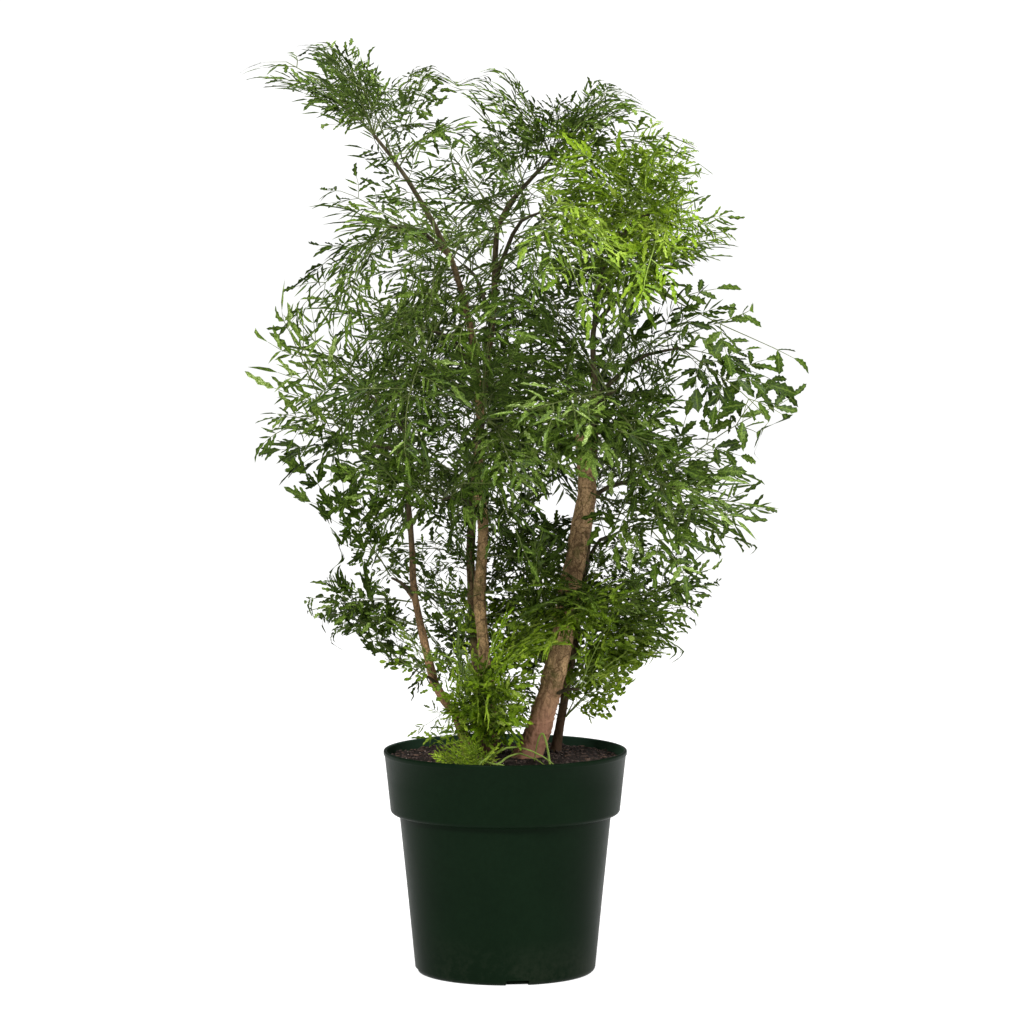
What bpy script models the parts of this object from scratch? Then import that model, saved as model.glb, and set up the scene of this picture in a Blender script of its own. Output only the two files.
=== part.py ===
"""A ming aralia: five woody canes with leafy shoots, in potting mix, in a plastic nursery pot.

Run it with: blender --background --python part.py
Metres, +Z up. The origin is on the ground, under the middle of the pot, and the front of the plant faces -Y.
"""

import itertools
import math

import bmesh
import bpy
import numpy as np
from mathutils import Matrix, Vector
from mathutils.bvhtree import BVHTree

# ---------------------------------------------------------------- driving dimensions
# Pot
POT_HEIGHT = 0.2336
RIM_DIAMETER = 0.254
COLLAR_HEIGHT = 0.0665
COLLAR_FOOT_DIAMETER = 0.240
BODY_TOP_DIAMETER = 0.2206
BODY_FOOT_DIAMETER = 0.1890
WALL = 0.0022
LIP_THICKNESS = 0.0032
LIP_HEIGHT = 0.0042
CORNER_RADIUS = 0.0070
NOTCH_COUNT = 4
NOTCH_WIDTH = 0.024
NOTCH_HEIGHT = 0.0056
NOTCH_REACH = 0.0130
NOTCH_LEAD_DEG = 8.0
POT_SIDES = 40

# Potting mix
SOIL_DROP = 0.0090
SOIL_MOUND = 0.0045
SOIL_CLEARANCE = 0.0005
SOIL_SIDES = 36

# Plant: the crown's width and depth, and the height of its top above the potting mix
CROWN_WIDTH = 0.590
CROWN_DEPTH = 0.500
CROWN_TOP = 0.750
BURIED_DEPTH = 0.0700
SOCKET_CLEARANCE = 0.0004
CANE_SIDES_LEVEL = 3
SHOOT_SIDES_LEVEL = 1
SHOOT_BASE_DIAMETER = 0.0056
SHOOT_TIP_DIAMETER = 0.0026
SHOOT_ARCH = 0.14
SHOOT_POINTS = 6
JOIN_GAP = 0.0004

# Compound leaves: each kind's whole length, the bare part of its stalk, its first pinna and its pairs of pinnae
LEAF_KINDS = {
    "large": {"length": 0.164, "stalk": 0.044, "pinna": 0.064, "pairs": 4},
    "medium": {"length": 0.134, "stalk": 0.035, "pinna": 0.053, "pairs": 4},
    "small": {"length": 0.098, "stalk": 0.026, "pinna": 0.039, "pairs": 3},
}
STALK_WIDTH = 0.0026
LEAF_THICKNESS = 0.0014
LEAF_GAP = 0.0008
PINNA_ANGLE_DEG = 58.0
PINNA_SLIMNESS = 0.30
LEAF_DROOP = 0.20
SIDE_LEAF_TURN_DEG = 62.0
FIRST_LEAF_SHARE = 0.50

# The crown's outline, upwards: (height, left reach, right reach, reach to front and back). Here and below,
# places are shares of half the crown's width, half its depth, and its height above the potting mix.
CROWN_OUTLINE = (
    (0.00, -0.20, 0.22, 0.30),
    (0.09, -0.47, 0.30, 0.42),
    (0.15, -0.47, 0.48, 0.52),
    (0.20, -0.67, 0.64, 0.64),
    (0.27, -0.67, 0.76, 0.76),
    (0.33, -0.70, 0.90, 0.86),
    (0.40, -0.86, 0.93, 0.95),
    (0.50, -0.93, 1.10, 1.00),
    (0.60, -0.90, 1.10, 1.00),
    (0.66, -0.76, 0.84, 1.00),
    (0.76, -0.74, 0.80, 0.94),
    (0.86, -0.66, 0.74, 0.84),
    (0.92, -0.90, 0.56, 0.66),
    (1.00, -0.90, 0.34, 0.46),
)

# Canes: diameters at the base and the tip, the points along the cane, and its hand-shaped route
CANES = {
    "right_cane": {
        "diameters": (0.0245, 0.0175),
        "points": 13,
        "route": (
            (0.065, -0.13, 0.000),
            (0.136, -0.12, 0.066),
            (0.186, -0.10, 0.144),
            (0.217, -0.08, 0.208),
            (0.234, -0.06, 0.254),
            (0.263, -0.04, 0.311),
            (0.290, -0.03, 0.371),
            (0.280, -0.02, 0.413),
            (0.271, -0.02, 0.452),
        ),
    },
    "right_rear_cane": {
        "diameters": (0.0100, 0.0032),
        "points": 15,
        "route": (
            (0.176, 0.09, 0.000),
            (0.217, 0.10, 0.095),
            (0.258, 0.11, 0.191),
            (0.295, 0.11, 0.313),
            (0.322, 0.10, 0.483),
            (0.307, 0.09, 0.567),
            (0.332, 0.08, 0.663),
            (0.369, 0.06, 0.698),
            (0.424, 0.03, 0.760),
        ),
    },
    "middle_cane": {
        "diameters": (0.0150, 0.0032),
        "points": 18,
        "route": (
            (-0.047, -0.02, 0.000),
            (-0.054, -0.02, 0.079),
            (-0.092, -0.01, 0.217),
            (-0.075, -0.01, 0.315),
            (-0.095, -0.02, 0.392),
            (-0.088, -0.02, 0.491),
            (-0.125, -0.03, 0.605),
            (-0.197, -0.06, 0.701),
            (-0.346, -0.10, 0.807),
            (-0.458, -0.13, 0.865),
        ),
    },
    "middle_rear_cane": {
        "diameters": (0.0116, 0.0032),
        "points": 15,
        "route": (
            (-0.075, 0.14, 0.000),
            (-0.102, 0.15, 0.116),
            (-0.125, 0.15, 0.274),
            (-0.095, 0.16, 0.438),
            (-0.039, 0.18, 0.629),
            (-0.029, 0.18, 0.736),
            (0.068, 0.17, 0.793),
            (0.163, 0.15, 0.832),
        ),
    },
    "left_cane": {
        "diameters": (0.0116, 0.0032),
        "points": 16,
        "route": (
            (-0.124, -0.04, 0.000),
            (-0.169, -0.05, 0.061),
            (-0.241, -0.06, 0.098),
            (-0.291, -0.06, 0.175),
            (-0.322, -0.05, 0.237),
            (-0.329, -0.04, 0.303),
            (-0.344, -0.03, 0.371),
            (-0.347, -0.02, 0.453),
            (-0.475, 0.00, 0.504),
        ),
    },
}

# Shoots: the cane, the height at which the shoot leaves it, the shoot's tip, how far its leaves face
# the front (degrees from facing up), and its leaves from the cane outwards.
SHOOTS = (
    ("left_cane", 0.42, (-0.52, -0.18, 0.430), 45, ("medium", "large")),
    ("left_cane", 0.44, (-0.42, 0.38, 0.540), -40, ("medium", "large")),
    ("left_cane", 0.22, (-0.40, -0.10, 0.255), 50, ("small", "medium")),
    ("left_cane", 0.09, (-0.28, -0.13, 0.120), 40, ("small",)),
    ("middle_cane", 0.70, (-0.40, -0.18, 0.740), 40, ("medium", "large", "medium")),
    ("middle_cane", 0.52, (-0.25, -0.42, 0.600), 30, ("medium", "large")),
    ("middle_cane", 0.42, (-0.06, -0.46, 0.480), 25, ("medium", "large", "medium")),
    ("middle_cane", 0.33, (-0.22, -0.36, 0.370), 30, ("medium",)),
    ("middle_cane", 0.06, (-0.10, -0.25, 0.100), 40, ("small", "small")),
    ("middle_rear_cane", 0.66, (0.12, -0.34, 0.760), 35, ("medium", "large")),
    ("middle_rear_cane", 0.60, (-0.15, 0.50, 0.680), -30, ("medium", "large")),
    ("middle_rear_cane", 0.40, (-0.12, 0.48, 0.440), -30, ("medium", "large")),
    ("right_cane", 0.43, (0.38, -0.42, 0.520), 35, ("medium", "large")),
    ("right_cane", 0.36, (0.50, -0.10, 0.385), 50, ("medium", "large", "large")),
    ("right_cane", 0.19, (0.36, -0.13, 0.205), 50, ("small", "medium")),
    ("right_cane", 0.08, (0.26, -0.22, 0.105), 40, ("small",)),
    ("right_rear_cane", 0.60, (0.50, 0.05, 0.655), 50, ("medium", "large")),
    ("right_rear_cane", 0.50, (0.62, 0.06, 0.570), 60, ("medium", "large")),
    ("right_rear_cane", 0.48, (0.34, 0.48, 0.550), -35, ("medium", "large")),
    ("right_rear_cane", 0.26, (0.38, 0.36, 0.300), -35, ("medium", "medium")),
    ("right_rear_cane", 0.69, (0.52, -0.13, 0.760), 40, ("medium", "large")),
)
CANE_TIPS = {
    "left_cane": (50, ("medium", "medium", "large")),
    "middle_cane": (40, ("medium", "large", "large")),
    "middle_rear_cane": (-20, ("medium", "large", "medium")),
    "right_rear_cane": (30, ("medium", "large")),
}

# ---------------------------------------------------------------- worked-out dimensions
RIM_RADIUS = RIM_DIAMETER / 2
COLLAR_FOOT_RADIUS = COLLAR_FOOT_DIAMETER / 2
BODY_TOP_RADIUS = BODY_TOP_DIAMETER / 2
BODY_FOOT_RADIUS = BODY_FOOT_DIAMETER / 2
COLLAR_FOOT_Z = POT_HEIGHT - COLLAR_HEIGHT
SOIL_TOP_Z = POT_HEIGHT - SOIL_DROP


# ---------------------------------------------------------------- helpers
def clear_scene():
    for obj in list(bpy.data.objects):
        bpy.data.objects.remove(obj)


def new_collection(name):
    collection = bpy.data.collections.new(name)
    bpy.context.scene.collection.children.link(collection)
    return collection


def finish(name, colour, roughness, metallic=0.0):
    """A Principled BSDF material."""
    material = bpy.data.materials.new(name)
    material.use_nodes = True
    shader = material.node_tree.nodes["Principled BSDF"]
    shader.inputs["Base Color"].default_value = (*colour, 1.0)
    shader.inputs["Roughness"].default_value = roughness
    shader.inputs["Metallic"].default_value = metallic
    return material


def add_object(name, mesh, collection, material=None):
    obj = bpy.data.objects.new(name, mesh)
    collection.objects.link(obj)
    if material:
        mesh.materials.clear()
        mesh.materials.append(material)
    return obj


def mark_as_helper(obj):
    obj.hide_render = True
    obj.display_type = "WIRE"


def arc(centre, radius, start_deg, end_deg, steps):
    """Points of an arc in the (radius, height) plane of a turned profile."""
    angles = np.radians(np.linspace(start_deg, end_deg, steps))
    return [(centre[0] + radius * math.cos(a), centre[1] + radius * math.sin(a)) for a in angles]


def turned(name, profile, sides, collection, material=None):
    """A solid of revolution about Z: the profile runs from the axis, over the top, down its outer side."""
    mesh = bpy.data.meshes.new(name)
    corners = [(radius, 0.0, height) for radius, height in profile]
    mesh.from_pydata(corners, [(i, i + 1) for i in range(len(corners) - 1)], [])
    obj = add_object(name, mesh, collection, material)
    screw = obj.modifiers.new("turn", "SCREW")
    screw.axis = "Z"
    screw.steps = sides
    screw.render_steps = sides
    screw.use_merge_vertices = True
    screw.merge_threshold = 0.00001
    screw.use_smooth_shade = False
    return obj


def boolean(obj, other, operation):
    modifier = obj.modifiers.new(f"{operation.lower()} {other.name}", "BOOLEAN")
    modifier.operation = operation
    modifier.object = other
    modifier.solver = "EXACT"


def as_mesh(curve_object):
    """The curve's solid as a mesh object in its place, with the loose caps welded on."""
    bpy.context.view_layer.update()
    graph = bpy.context.evaluated_depsgraph_get()
    mesh = bpy.data.meshes.new_from_object(curve_object.evaluated_get(graph))
    mesh.name = curve_object.name
    welding = bmesh.new()
    welding.from_mesh(mesh)
    bmesh.ops.remove_doubles(welding, verts=welding.verts, dist=0.00001)
    bmesh.ops.recalc_face_normals(welding, faces=welding.faces)
    welding.to_mesh(mesh)
    welding.free()
    name, place = curve_object.name, curve_object.matrix_world.copy()
    collection = curve_object.users_collection[0]
    bpy.data.objects.remove(curve_object)
    obj = add_object(name, mesh, collection)
    obj.matrix_world = place
    return obj


def smooth_route(corners, count):
    """count points, evenly spaced by knot, on a Catmull-Rom curve through the corners."""
    knots = [2 * corners[0] - corners[1], *corners, 2 * corners[-1] - corners[-2]]
    found = []
    for at in np.linspace(0, len(corners) - 1, count):
        i = min(int(at), len(corners) - 2)
        t = at - i
        a, b, c, d = knots[i : i + 4]
        found.append(
            0.5 * (2 * b + (c - a) * t + (2 * a - 5 * b + 4 * c - d) * t**2 + (3 * b - a - 3 * c + d) * t**3)
        )
    return found


def tube(name, points, radii, sides_level, collection, material=None):
    """A tapered round stem through the points, as a closed mesh."""
    curve = bpy.data.curves.new(name, "CURVE")
    curve.dimensions = "3D"
    curve.bevel_depth = 1.0
    curve.bevel_resolution = sides_level
    curve.use_fill_caps = True
    curve.resolution_u = 1
    spline = curve.splines.new("POLY")
    spline.points.add(len(points) - 1)
    for point, place, radius in zip(spline.points, points, radii):
        point.co = (*place, 1.0)
        point.radius = radius
    obj = as_mesh(add_object(name, curve, collection))
    if material:
        obj.data.materials.append(material)
    obj.data.shade_smooth()
    return obj


def in_plant(shares):
    """A place in the crown, from its shares of the half width, half depth and height."""
    across, back, up = shares
    return Vector((across * CROWN_WIDTH / 2, back * CROWN_DEPTH / 2, SOIL_TOP_Z + up * CROWN_TOP))


# ---------------------------------------------------------------- pot
def pot_outer_profile():
    """The outer side, from the lip down to the flat base."""
    lip = LIP_THICKNESS / 2
    return [
        *arc((RIM_RADIUS - lip, POT_HEIGHT - lip), lip, 90, 0, 4),
        (RIM_RADIUS, POT_HEIGHT - LIP_HEIGHT),
        (RIM_RADIUS - (LIP_THICKNESS - WALL), POT_HEIGHT - LIP_HEIGHT - (LIP_THICKNESS - WALL)),
        *arc((COLLAR_FOOT_RADIUS - WALL, COLLAR_FOOT_Z + WALL), WALL, 0, -90, 4),
        (BODY_TOP_RADIUS, COLLAR_FOOT_Z - 2 * WALL),
        *arc((BODY_FOOT_RADIUS - CORNER_RADIUS, CORNER_RADIUS), CORNER_RADIUS, 0, -90, 6),
    ]


def pot_inner_profile():
    """The inner side, from the floor up to the lip."""
    return [
        *arc((BODY_FOOT_RADIUS - CORNER_RADIUS, CORNER_RADIUS), CORNER_RADIUS - WALL, -90, 0, 4),
        (BODY_TOP_RADIUS - WALL, COLLAR_FOOT_Z - WALL),
        (COLLAR_FOOT_RADIUS - WALL, COLLAR_FOOT_Z + WALL),
        (RIM_RADIUS - LIP_THICKNESS, POT_HEIGHT - LIP_THICKNESS / 2),
    ]


def make_pot(parts, helpers):
    profile = [(0.0, WALL), *pot_inner_profile(), *pot_outer_profile(), (0.0, 0.0)]
    pot = turned("pot", profile, POT_SIDES, parts, finish("pot_plastic", (0.012, 0.030, 0.014), 0.42))
    for i in range(NOTCH_COUNT):
        # Each drain notch cuts through the side and the floor, where they meet.
        angle = math.radians(-90 + NOTCH_LEAD_DEG) + i * math.tau / NOTCH_COUNT
        bpy.ops.mesh.primitive_cube_add(size=1.0)
        cutter = bpy.context.object
        cutter.name = f"notch_cutter_{i + 1}"
        cutter.scale = (2 * NOTCH_REACH, NOTCH_WIDTH, 2 * NOTCH_HEIGHT)
        cutter.rotation_euler = (0.0, 0.0, angle)
        cutter.location = (BODY_FOOT_RADIUS * math.cos(angle), BODY_FOOT_RADIUS * math.sin(angle), 0.0)
        for collection in list(cutter.users_collection):
            collection.objects.unlink(cutter)
        helpers.objects.link(cutter)
        mark_as_helper(cutter)
        boolean(pot, cutter, "DIFFERENCE")
    return pot


# ---------------------------------------------------------------- potting mix
def make_potting_mix(parts, sockets):
    """The mix fills the pot, and has a socket for each cane."""
    collar_lean = (RIM_RADIUS - LIP_THICKNESS - COLLAR_FOOT_RADIUS + WALL) / (COLLAR_HEIGHT - WALL)
    top_radius = COLLAR_FOOT_RADIUS - WALL + collar_lean * (SOIL_TOP_Z - COLLAR_FOOT_Z - WALL) - SOIL_CLEARANCE
    mound = [
        (top_radius * share, SOIL_TOP_Z + SOIL_MOUND * math.cos(math.pi / 2 * share) ** 2)
        for share in np.linspace(0, 1, 6)
    ]
    corner = CORNER_RADIUS - WALL - SOIL_CLEARANCE
    profile = [
        *mound,
        (COLLAR_FOOT_RADIUS - WALL - SOIL_CLEARANCE, COLLAR_FOOT_Z + WALL + SOIL_CLEARANCE),
        (BODY_TOP_RADIUS - WALL - 2 * SOIL_CLEARANCE, COLLAR_FOOT_Z - WALL + SOIL_CLEARANCE),
        *arc((BODY_FOOT_RADIUS - CORNER_RADIUS - SOIL_CLEARANCE, CORNER_RADIUS), corner, 0, -90, 3),
        (0.0, WALL + SOIL_CLEARANCE),
    ]
    mix = turned("potting_mix", profile, SOIL_SIDES, parts, finish("potting_mix", (0.030, 0.022, 0.018), 0.95))
    for socket in sockets:
        boolean(mix, socket, "DIFFERENCE")
    return mix


# ---------------------------------------------------------------- canes and shoots
def cane_route(name):
    """The cane's points above the mix, with its buried foot below them."""
    cane = CANES[name]
    above = smooth_route([in_plant(shares) for shares in cane["route"]], cane["points"])
    return [above[0] - Vector((0, 0, BURIED_DEPTH)), *above]


def cane_radii(name, count):
    """The buried foot is as thick as the base, and the rest tapers evenly."""
    base, tip = (diameter / 2 for diameter in CANES[name]["diameters"])
    return [base, *np.linspace(base, tip, count - 1)]


def make_socket(name, helpers):
    """The cutter for a cane's hole in the mix: the cane's foot, grown by the clearance."""
    route, clearance = cane_route(name), SOCKET_CLEARANCE
    radii = cane_radii(name, len(route))
    points = [route[0] - Vector((0, 0, clearance)), *route[1:4]]
    socket = tube(f"{name}_socket", points, [r + clearance for r in radii[:4]], CANE_SIDES_LEVEL, helpers)
    mark_as_helper(socket)
    return socket


def point_at_height(route, height):
    """Where the cane passes a height, and its index there."""
    for i in range(1, len(route) - 1):
        low, high = route[i], route[i + 1]
        if low.z <= height <= high.z:
            return low.lerp(high, (height - low.z) / (high.z - low.z)), i
    return route[-2], len(route) - 2


def shoot_route(start, tip):
    """A shoot leaves its cane rising, and arches over to its tip."""
    span = tip - start
    middle = start.lerp(tip, 0.5) + Vector((0, 0, SHOOT_ARCH * span.length))
    return smooth_route([start, middle, tip], SHOOT_POINTS)


def make_cane(name, parts, helpers, bark):
    """The cane with its shoots grown on, as one piece. Returns it with the routes that carry leaves."""
    route = cane_route(name)
    radii = cane_radii(name, len(route))
    cane = tube(name, route, radii, CANE_SIDES_LEVEL, parts, bark)
    carriers = []
    for cane_name, leaves_at, tip, roll, kinds in SHOOTS:
        if cane_name != name:
            continue
        start, _ = point_at_height(route, in_plant((0, 0, leaves_at)).z)
        points = shoot_route(start, in_plant(tip))
        thickness = np.linspace(SHOOT_BASE_DIAMETER / 2, SHOOT_TIP_DIAMETER / 2, len(points))
        shoot = tube(f"{name}_shoot_{len(carriers) + 1}", points, thickness, SHOOT_SIDES_LEVEL, helpers)
        mark_as_helper(shoot)
        boolean(cane, shoot, "UNION")
        carriers.append((points, list(thickness), roll, kinds))
    if name in CANE_TIPS:
        roll, kinds = CANE_TIPS[name]
        outer = len(route) * 2 // 3
        carriers.append((route[outer:], radii[outer:], roll, kinds))
    return cane, carriers


# ---------------------------------------------------------------- leaves
def leaf_side(kind):
    """One side of a compound leaf's outline, from the foot of its stalk to its tip: (along, across)."""
    leaf = LEAF_KINDS[kind]
    angle = math.radians(PINNA_ANGLE_DEG)
    along = Vector((math.cos(angle), math.sin(angle)))
    across = Vector((-along.y, along.x))
    half_stalk = STALK_WIDTH / 2
    spacing = (leaf["length"] - leaf["stalk"]) / (leaf["pairs"] + 0.6)
    side = [Vector((0.0, half_stalk))]
    for i in range(leaf["pairs"]):
        root = Vector((leaf["stalk"] + i * spacing, half_stalk))
        length = leaf["pinna"] * (1 - 0.14 * i)
        half_width = PINNA_SLIMNESS * length / 2
        side += [
            root,
            root + along * 0.42 * length + across * half_width,
            root + along * length,
            root + along * 0.52 * length - across * half_width,
            Vector((root.x + 2 * half_stalk, half_stalk)),
        ]
    end = leaf["length"] - spacing * 1.1
    side += [Vector((end, half_stalk)), Vector((end + 0.5 * spacing, 0.22 * spacing))]
    return side


def leaf_mesh(kind, growth, helpers, material=None):
    """A compound leaf as one thin, drooping plate along +X, thicker by growth on each face."""
    side = leaf_side(kind)
    outline = [*side, Vector((LEAF_KINDS[kind]["length"], 0.0)), *(Vector((p.x, -p.y)) for p in reversed(side))]
    curve = bpy.data.curves.new(f"{kind}_leaf", "CURVE")
    curve.dimensions = "2D"
    curve.fill_mode = "BOTH"
    curve.extrude = LEAF_THICKNESS / 2 + growth
    spline = curve.splines.new("POLY")
    spline.points.add(len(outline) - 1)
    spline.use_cyclic_u = True
    for point, place in zip(spline.points, outline):
        point.co = (place.x, place.y, 0.0, 1.0)
    obj = as_mesh(add_object(f"{kind}_leaf", curve, helpers))
    mesh = obj.data
    bpy.data.objects.remove(obj)
    for vertex in mesh.vertices:
        vertex.co.z -= LEAF_DROOP * vertex.co.x**2 / LEAF_KINDS[kind]["length"]
    if material:
        mesh.materials.append(material)
    return mesh


def tree_of_object(obj):
    """The object's surface as it stands, for finding room beside it."""
    bpy.context.view_layer.update()
    evaluated = obj.evaluated_get(bpy.context.evaluated_depsgraph_get())
    mesh = evaluated.to_mesh()
    points = [evaluated.matrix_world @ v.co for v in mesh.vertices]
    faces = [tuple(p.vertices) for p in mesh.polygons]
    evaluated.to_mesh_clear()
    return BVHTree.FromPolygons(points, faces)


def nudges():
    """Every (turn, lift, roll) in degrees by which a leaf may lean away from its neighbours."""
    return list(itertools.product(range(-96, 97, 12), range(-60, 61, 12), range(-60, 61, 20)))


def foot_offset(radius, at_tip, sine):
    """How far along itself a leaf starts from the stem's centre line, to stand clear of the stem's skin."""
    half_stalk = max(STALK_WIDTH / 2, LEAF_THICKNESS / 2 + LEAF_GAP)
    if at_tip:
        return (radius + half_stalk) * sine + JOIN_GAP
    return (radius + half_stalk) / max(sine, 0.5) + JOIN_GAP


def leaf_place(where, heading, roll_deg, nudge):
    """The leaf's matrix: its foot by the stem's skin at the node, pointing along the heading."""
    node, radius, stem, side = where
    turn, lift, roll = (math.radians(angle) for angle in nudge)
    flat = Vector((heading.x, heading.y, 0.0)).normalized()
    sideways = Vector((0, 0, 1)).cross(flat)
    pointing = Matrix.Rotation(turn, 3, "Z") @ Matrix.Rotation(-lift, 3, sideways) @ heading
    tilt = math.radians(roll_deg)
    face = Vector((0, -math.sin(tilt), math.cos(tilt)))
    across = face.cross(pointing).normalized()
    face = pointing.cross(across)
    turned_by = Matrix.Rotation(roll, 3, pointing)
    leaf_axes = Matrix((pointing, turned_by @ across, turned_by @ face)).transposed()
    start = node + pointing * foot_offset(radius, side == 0, stem.cross(pointing).length)
    return Matrix.Translation(start) @ leaf_axes.to_4x4()


def outside_crown(places):
    """How far, in metres, the furthest of the points is outside the crown's outline."""
    heights, left, right, front_back = np.array(CROWN_OUTLINE).T
    up = (places[:, 2] - SOIL_TOP_Z) / CROWN_TOP
    across = places[:, 0] / (CROWN_WIDTH / 2)
    back = places[:, 1] / (CROWN_DEPTH / 2)
    reach = np.where(across < 0, -np.interp(up, heights, left), np.interp(up, heights, right))
    depth = np.interp(up, heights, front_back)
    plan = np.hypot(across / reach, back / depth) - 1
    over_side = plan * np.minimum(reach * CROWN_WIDTH, depth * CROWN_DEPTH) / 2
    over_top = (up - 1) * CROWN_TOP
    return max(over_side.max(), over_top.max(), 0.0)


def lean_cost(nudge, places):
    """What a leaf's lean costs: 30 degrees costs as much as 2 mm outside the crown."""
    turn, lift, roll = nudge
    return (turn**2 + lift**2 + roll**2 / 2) / 30**2 + outside_crown(places) / 0.002


def leaf_nodes(points, radii, count):
    """(node, stem radius, stem direction, side) for each leaf: alternate sides, then 0 for the tip."""
    found = []
    shares = np.linspace(FIRST_LEAF_SHARE, 1.0, count) if count > 1 else [1.0]
    for number, share in enumerate(shares):
        at = share * (len(points) - 1)
        i = min(int(at), len(points) - 2)
        stem = (points[i + 1] - points[i]).normalized()
        if share == 1.0:
            found.append((points[-1], radii[-1], stem, 0))
        else:
            found.append((points[i].lerp(points[i + 1], at - i), radii[i], stem, 1 if number % 2 else -1))
    return found


def settle_leaf(feeler, standing, where, roll_deg):
    """The cheapest lean that is clear of everything standing: (the leaf's matrix, its tree)."""
    _, _, stem, side = where
    heading = Matrix.Rotation(math.radians(side * SIDE_LEAF_TURN_DEG), 3, "Z") @ stem
    heading.z = 0.35 * heading.z + (0.30 if side else 0.0)
    heading.normalize()
    corners = np.array([(*v.co, 1.0) for v in feeler.vertices])
    faces = [tuple(p.vertices) for p in feeler.polygons]
    leans = []
    for order, nudge in enumerate(nudges()):
        place = leaf_place(where, heading, roll_deg, nudge)
        places = corners @ np.array(place).T[:, :3]
        leans.append((lean_cost(nudge, places), order, place, places))
    for _, _, place, places in sorted(leans, key=lambda lean: lean[:2]):
        felt = BVHTree.FromPolygons(places.tolist(), faces)
        if not any(felt.overlap(other) for other in standing):
            return place, felt
    return place, felt


def make_leaves(carriers, standing, parts, helpers, material):
    """Each leaf takes the best place that is clear of everything already standing."""
    meshes = {kind: leaf_mesh(kind, 0.0, helpers, material) for kind in LEAF_KINDS}
    feelers = {kind: leaf_mesh(kind, LEAF_GAP, helpers) for kind in LEAF_KINDS}
    for cane, runs in carriers.items():
        number = 0
        for points, radii, roll_deg, kinds in runs:
            for where, kind in zip(leaf_nodes(points, radii, len(kinds)), kinds):
                number += 1
                place, felt = settle_leaf(feelers[kind], standing, where, roll_deg)
                leaf = add_object(f"{cane}_leaf_{number:02d}", meshes[kind], parts)
                leaf.matrix_world = place
                standing.append(felt)


# ---------------------------------------------------------------- the whole plant
def main():
    clear_scene()
    parts = new_collection("potted_ming_aralia")
    helpers = new_collection("helpers")
    bark = finish("bark", (0.23, 0.13, 0.07), 0.85)
    leaf_green = finish("leaf_green", (0.035, 0.11, 0.015), 0.5)
    pot = make_pot(parts, helpers)
    mix = make_potting_mix(parts, [make_socket(name, helpers) for name in CANES])
    standing = [tree_of_object(pot), tree_of_object(mix)]
    carriers = {}
    for name in CANES:
        cane, carriers[name] = make_cane(name, parts, helpers, bark)
        standing.append(tree_of_object(cane))
    make_leaves(carriers, standing, parts, helpers, leaf_green)


main()
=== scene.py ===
"""The potted ming aralia's looks: its nursery pot, potting mix, woody canes and finely cut leaves."""

import itertools
import math
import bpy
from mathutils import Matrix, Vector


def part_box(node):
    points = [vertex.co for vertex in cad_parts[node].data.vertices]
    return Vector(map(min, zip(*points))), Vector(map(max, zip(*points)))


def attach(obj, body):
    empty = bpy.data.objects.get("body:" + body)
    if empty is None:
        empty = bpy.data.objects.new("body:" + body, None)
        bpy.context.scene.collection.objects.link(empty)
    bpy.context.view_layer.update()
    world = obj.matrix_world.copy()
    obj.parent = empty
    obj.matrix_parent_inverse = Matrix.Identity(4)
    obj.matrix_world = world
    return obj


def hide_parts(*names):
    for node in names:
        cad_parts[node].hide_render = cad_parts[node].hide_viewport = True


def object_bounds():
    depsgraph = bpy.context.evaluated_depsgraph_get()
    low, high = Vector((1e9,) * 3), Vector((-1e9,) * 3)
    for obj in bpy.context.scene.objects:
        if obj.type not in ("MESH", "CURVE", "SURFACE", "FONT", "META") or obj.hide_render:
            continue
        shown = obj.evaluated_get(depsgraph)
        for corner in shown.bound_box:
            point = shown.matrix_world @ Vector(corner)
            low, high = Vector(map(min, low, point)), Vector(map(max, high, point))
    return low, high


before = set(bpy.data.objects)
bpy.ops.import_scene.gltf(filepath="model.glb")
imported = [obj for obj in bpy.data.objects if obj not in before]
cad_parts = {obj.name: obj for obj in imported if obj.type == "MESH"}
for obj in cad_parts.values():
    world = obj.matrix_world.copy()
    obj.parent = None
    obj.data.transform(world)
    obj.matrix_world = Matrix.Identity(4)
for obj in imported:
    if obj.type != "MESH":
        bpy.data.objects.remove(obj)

from types import SimpleNamespace

import bpy
import numpy as np
from mathutils import Matrix, Vector, noise
from mathutils.bvhtree import BVHTree

CAD_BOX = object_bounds()
BODY = "root"

# ---------------------------------------------------------------- sizes, in metres
POT_LOW, POT_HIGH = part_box("pot")
MIX_LOW, MIX_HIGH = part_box("potting_mix")
RIM_RADIUS = (POT_HIGH.x - POT_LOW.x) / 2
POT_HEIGHT = POT_HIGH.z
MIX_RADIUS = (MIX_HIGH.x - MIX_LOW.x) / 2
MIX_MOUND = 0.0045
MIX_EDGE_Z = MIX_HIGH.z - MIX_MOUND
COLLAR_HEIGHT = 0.0665
COLLAR_FOOT_Z = POT_HEIGHT - COLLAR_HEIGHT
COLLAR_FOOT_RADIUS = 0.120
BODY_TOP_RADIUS = 0.1103
BODY_FOOT_RADIUS = 0.0945
WALL = 0.0022
POT_STEPS = 144
NOTCH_WIDTH = 0.024
NOTCH_HEIGHT = 0.0056
NOTCH_REACH = 0.013
NOTCH_COUNT = 4
NOTCH_LEAD_DEG = 8.0
BARK_VOXEL = 0.0010
LEAF_DROOP = 0.20
BLADE_BELLY = 0.022
LEAVES_A_PIECE = 45
AMBIENT = 0.30
BACKDROP = 1.10
LENS_MM = 171.4
CAMERA_PLACE = (0.007, -5.05, 0.905)
CAMERA_TARGET = (0.007, 0.0, 0.482)

CANES = sorted(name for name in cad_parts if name.endswith("cane"))
LEAF_NODES = sorted(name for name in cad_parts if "_leaf_" in name)


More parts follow.
